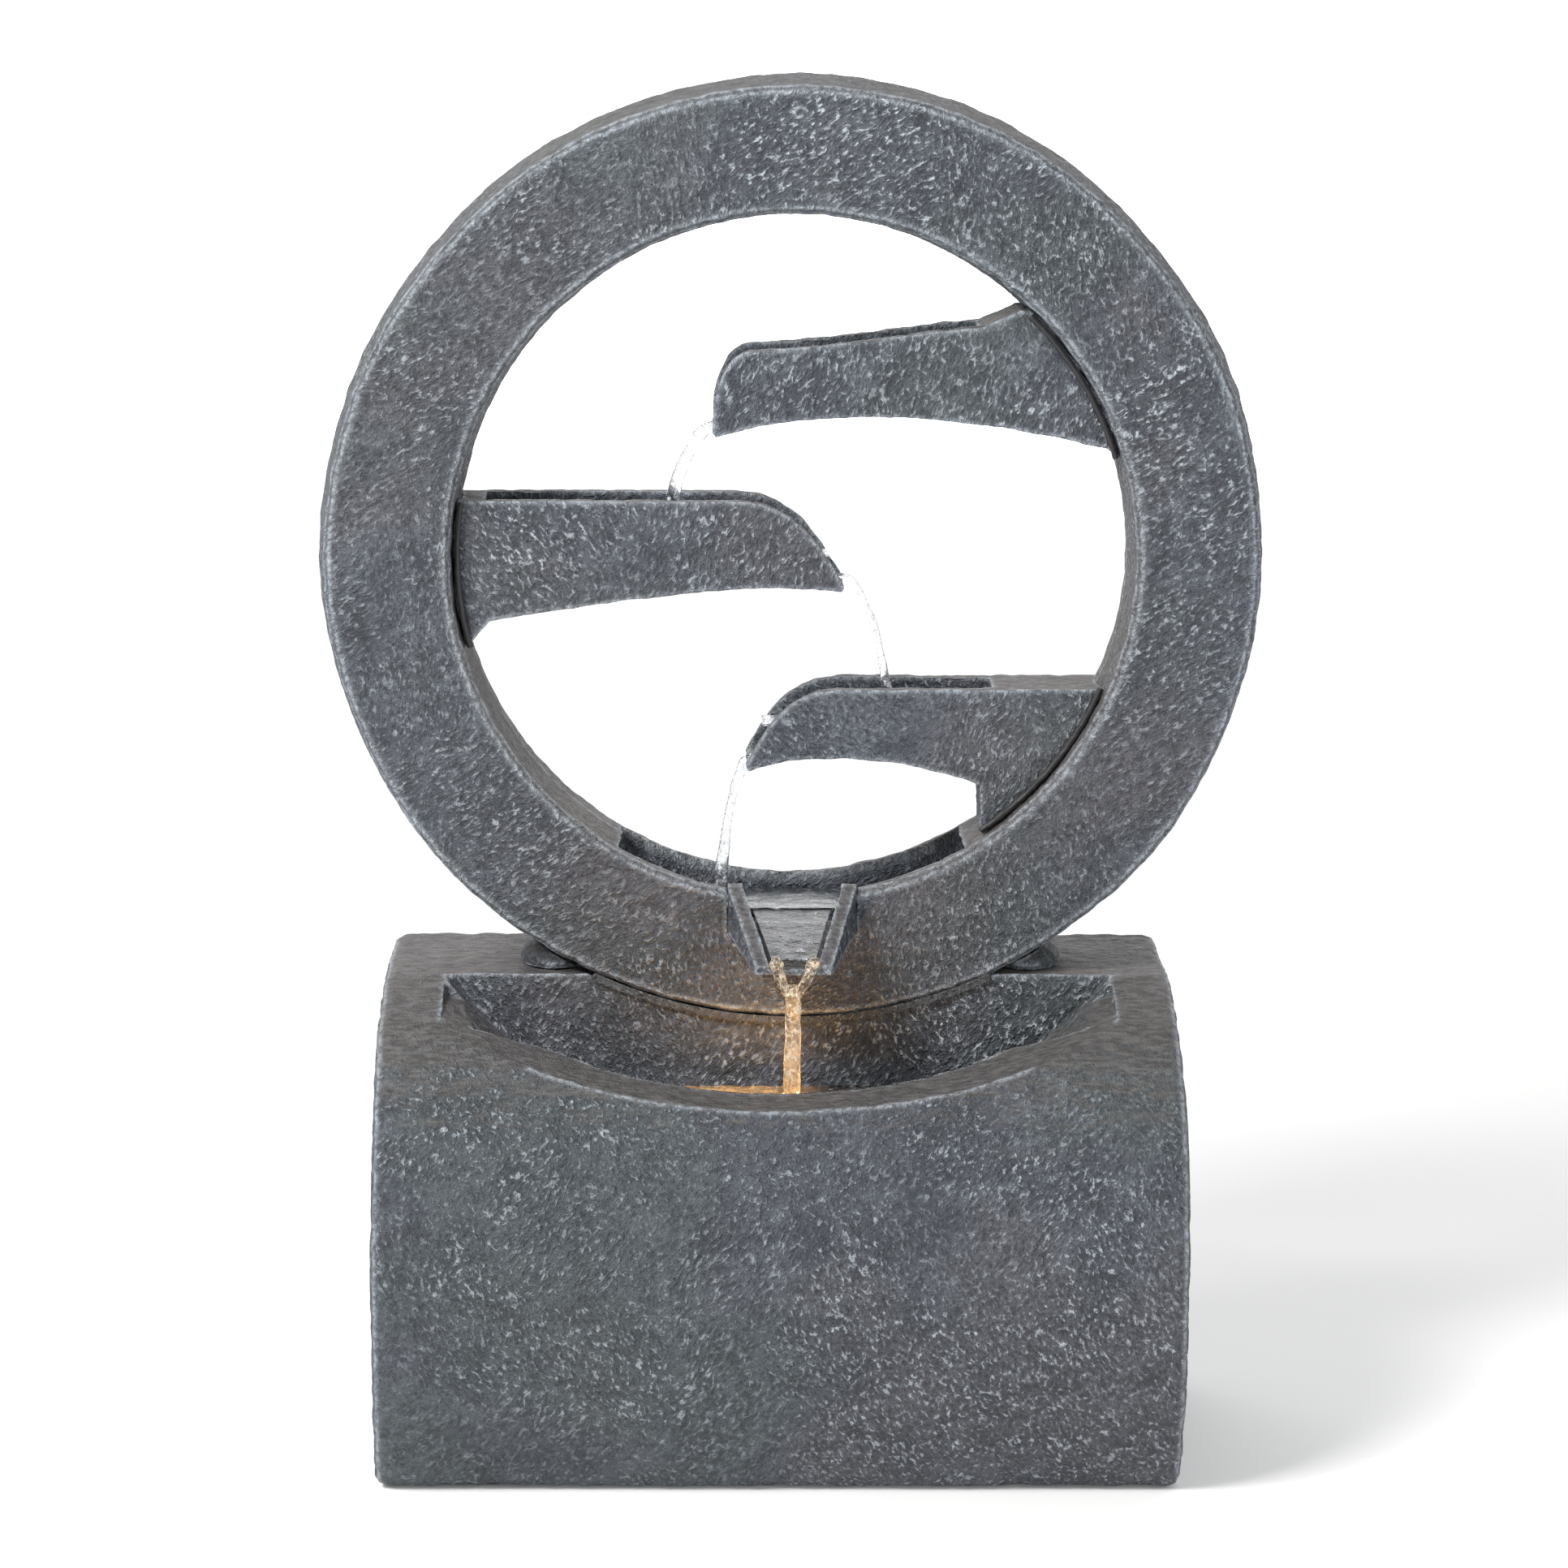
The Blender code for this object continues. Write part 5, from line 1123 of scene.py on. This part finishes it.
class Fittings:
    """The pump, light, hoses and cover, which keep their frame meshes."""

    FINISHES: dict[str, FittingFinish] = {
        "black_plastic": FittingFinish("black_moulding", (0.022, 0.022, 0.024), 0.48),
        "grey_plastic": FittingFinish("grey_moulding", (0.215, 0.220, 0.225), 0.52),
        "rubber": FittingFinish("black_rubber", (0.030, 0.030, 0.031), 0.78, Grain.CLOUDY),
        "clear_hose": FittingFinish("milky_hose", (0.62, 0.64, 0.61), 0.22, Grain.CLOUDY,
                                    transmission=0.55),
        "stainless_steel": FittingFinish("brushed_stainless", (0.60, 0.60, 0.59), 0.30,
                                         Grain.BRUSHED, 1.0, contrast=0.10),
        "rotor_magnet": FittingFinish("ferrite_rotor", (0.060, 0.055, 0.055), 0.60, Grain.CLOUDY),
        "ceramic": FittingFinish("ground_ceramic", (0.78, 0.77, 0.74), 0.32, Grain.BRUSHED,
                                 contrast=0.05),
        "lens_glass": FittingFinish("clear_lens", (0.92, 0.93, 0.92), 0.06, Grain.CLOUDY,
                                    transmission=0.95, contrast=0.03, relief=0.00002),
        "light_board": FittingFinish("phosphor_board", (0.86, 0.66, 0.22), 0.45, contrast=0.12),
    }

    def dress(self, frame: dict[str, Any]) -> int:
        """Gives every frame node its procedural finish.


        Returns:
            How many nodes were dressed.
        """
        made = {slot: finish.build() for slot, finish in self.FINISHES.items()}
        made["cast_stone"] = made["mortar"] = StoneFinish("dowel_stone").build()
        made["sealant"] = made["rubber"]
        slots = {part["node"]: part["material_slot"] for part in frame["record"]["subparts"]}
        for name, node in frame["nodes"].items():
            finish = made[slots[name]]
            if not node.material_slots:
                node.data.materials.append(finish)
            for place in node.material_slots:
                place.material = finish
        return len(frame["nodes"])


@dataclass
class Studio:
    """Floor, light and camera."""

    camera_place: tuple[float, float, float] = (-0.0712, -3.786, 1.1485)
    camera_tilt: float = 80.14
    camera_turn: float = -0.978
    camera_roll: float = 0.30
    lens: float = 121.83
    floor_half: float = 7.0
    sky: float = 0.34
    floor_glow: float = 0.10
    wall_glow: float = 1.35
    wall_grey: Colour = (0.9, 0.9, 0.9)
    glow_aside: float = 0.02
    glow_above: float = 0.004
    glow_lean: float = 8.0

    def _card(self, name: str, speck_scale: float, tones: tuple[float, float], glow: float,
              tilt: float, middle: tuple[float, float], base: Colour | None = None) -> None:
        """Puts up one large plain card of the studio.

        Args:
            name: the card's name.
            speck_scale: clouds per metre in its tone.
            tones: the darkest and the lightest grey.
            glow: how strongly it shines.
            tilt: its turn about X in degrees.
            middle: its middle's place along Y and Z.
            base: its colour, where that differs from its glow's.
        """
        g = Graph(f"studio_{name}")
        low, high = ((tone, tone, tone) for tone in tones)
        tone = g.mix(g.noise(g.place(), speck_scale, 2.0), low, high)
        material = g.principled({"Base Color": base or tone,
                                 "Roughness": 0.9, "Emission Color": tone,
                                 "Emission Strength": glow})
        bm = bmesh.new()
        bmesh.ops.create_grid(bm, x_segments=2, y_segments=2, size=self.floor_half)
        turn = Matrix.Rotation(math.radians(tilt), 3, "X")
        bmesh.ops.rotate(bm, verts=bm.verts[:], matrix=turn)
        bmesh.ops.translate(bm, verts=bm.verts[:], vec=(0.0, *middle))
        finished(name, bm, material)

    def _lamp(self, name: str, place: Vector, aim: Vector, size: float, watts: float,
              colour: Colour, shape: str = "SQUARE") -> None:
        """Hangs one soft box.

        Args:
            name: the lamp's name.
            place: where it hangs.
            aim: the point it faces.
            size: its side.
            watts: its power.
            colour: its tint.
            shape: the outline of its face.
        """
        data = bpy.data.lights.new(name, "AREA")
        data.shape = shape
        data.size = size
        data.energy = watts
        data.color = colour
        lamp = bpy.data.objects.new(name, data)
        lamp.location = place
        lamp.rotation_euler = (aim - place).to_track_quat("-Z", "Y").to_euler()
        bpy.context.scene.collection.objects.link(lamp)

    def build(self) -> None:
        """Sets the whole studio up."""
        scene = bpy.context.scene
        scene.view_settings.view_transform = "Standard"
        world = bpy.data.worlds.new("studio")
        world.use_nodes = True
        background = world.node_tree.nodes["Background"]
        background.inputs["Color"].default_value = (1.0, 1.0, 1.0, 1.0)
        background.inputs["Strength"].default_value = self.sky
        scene.world = world
        half = self.floor_half
        self._card("floor", 3.0, (0.90, 0.94), self.floor_glow, 0.0, (0.0, -0.0004))
        self._card("backdrop", 2.0, (0.97, 1.0), self.wall_glow, 90.0, (half - 0.5, half - 1.0),
                   self.wall_grey)
        middle = Vector((0.0, 0.0, 0.5))
        self._lamp("key_box", Vector((-1.9, -1.9, 2.9)), middle, 1.2, 150.0, (1.0, 0.99, 0.97))
        self._lamp("fill_box", Vector((2.4, -2.4, 1.6)), middle, 1.6, 26.0, (0.96, 0.98, 1.0))
        low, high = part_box("led_lens")
        place = (low + high) / 2 + Vector((self.glow_aside, 0.0, 0.0))
        place.z = POOL_WATER_Z + self.glow_above
        lean = math.radians(self.glow_lean)
        aim = place + Vector((0.0, -math.sin(lean), math.cos(lean)))
        self._lamp("pool_glow", place, aim, 0.030, 0.20, (1.0, 0.52, 0.18), "DISK")
        self._camera(scene)

    def _camera(self, scene: bpy.types.Scene) -> None:
        """Stands the camera before the fountain."""
        data = bpy.data.cameras.new("camera")
        data.sensor_fit = "HORIZONTAL"
        data.sensor_width = 36.0
        data.lens = self.lens
        data.clip_end = 60.0
        camera = bpy.data.objects.new("camera", data)
        camera.location = self.camera_place
        camera.rotation_mode = "XYZ"
        camera.rotation_euler = (math.radians(self.camera_tilt), 0.0,
                                 math.radians(self.camera_turn))
        camera.rotation_euler.rotate_axis("Z", math.radians(self.camera_roll))
        scene.collection.objects.link(camera)
        scene.camera = camera


def main() -> None:
    """Builds the fountain's looks round the frame."""
    logging.basicConfig(level=logging.INFO, format="%(name)s: %(message)s")
    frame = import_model()
    LOG.info("%d nodes dressed", Fittings().dress(frame))
    LOG.info("%d castings", len(StoneWork().build(frame)))
    LOG.info("%d water pieces", len(WaterWork().build(frame)))
    Studio().build()


if __name__ == "__main__":
    main()
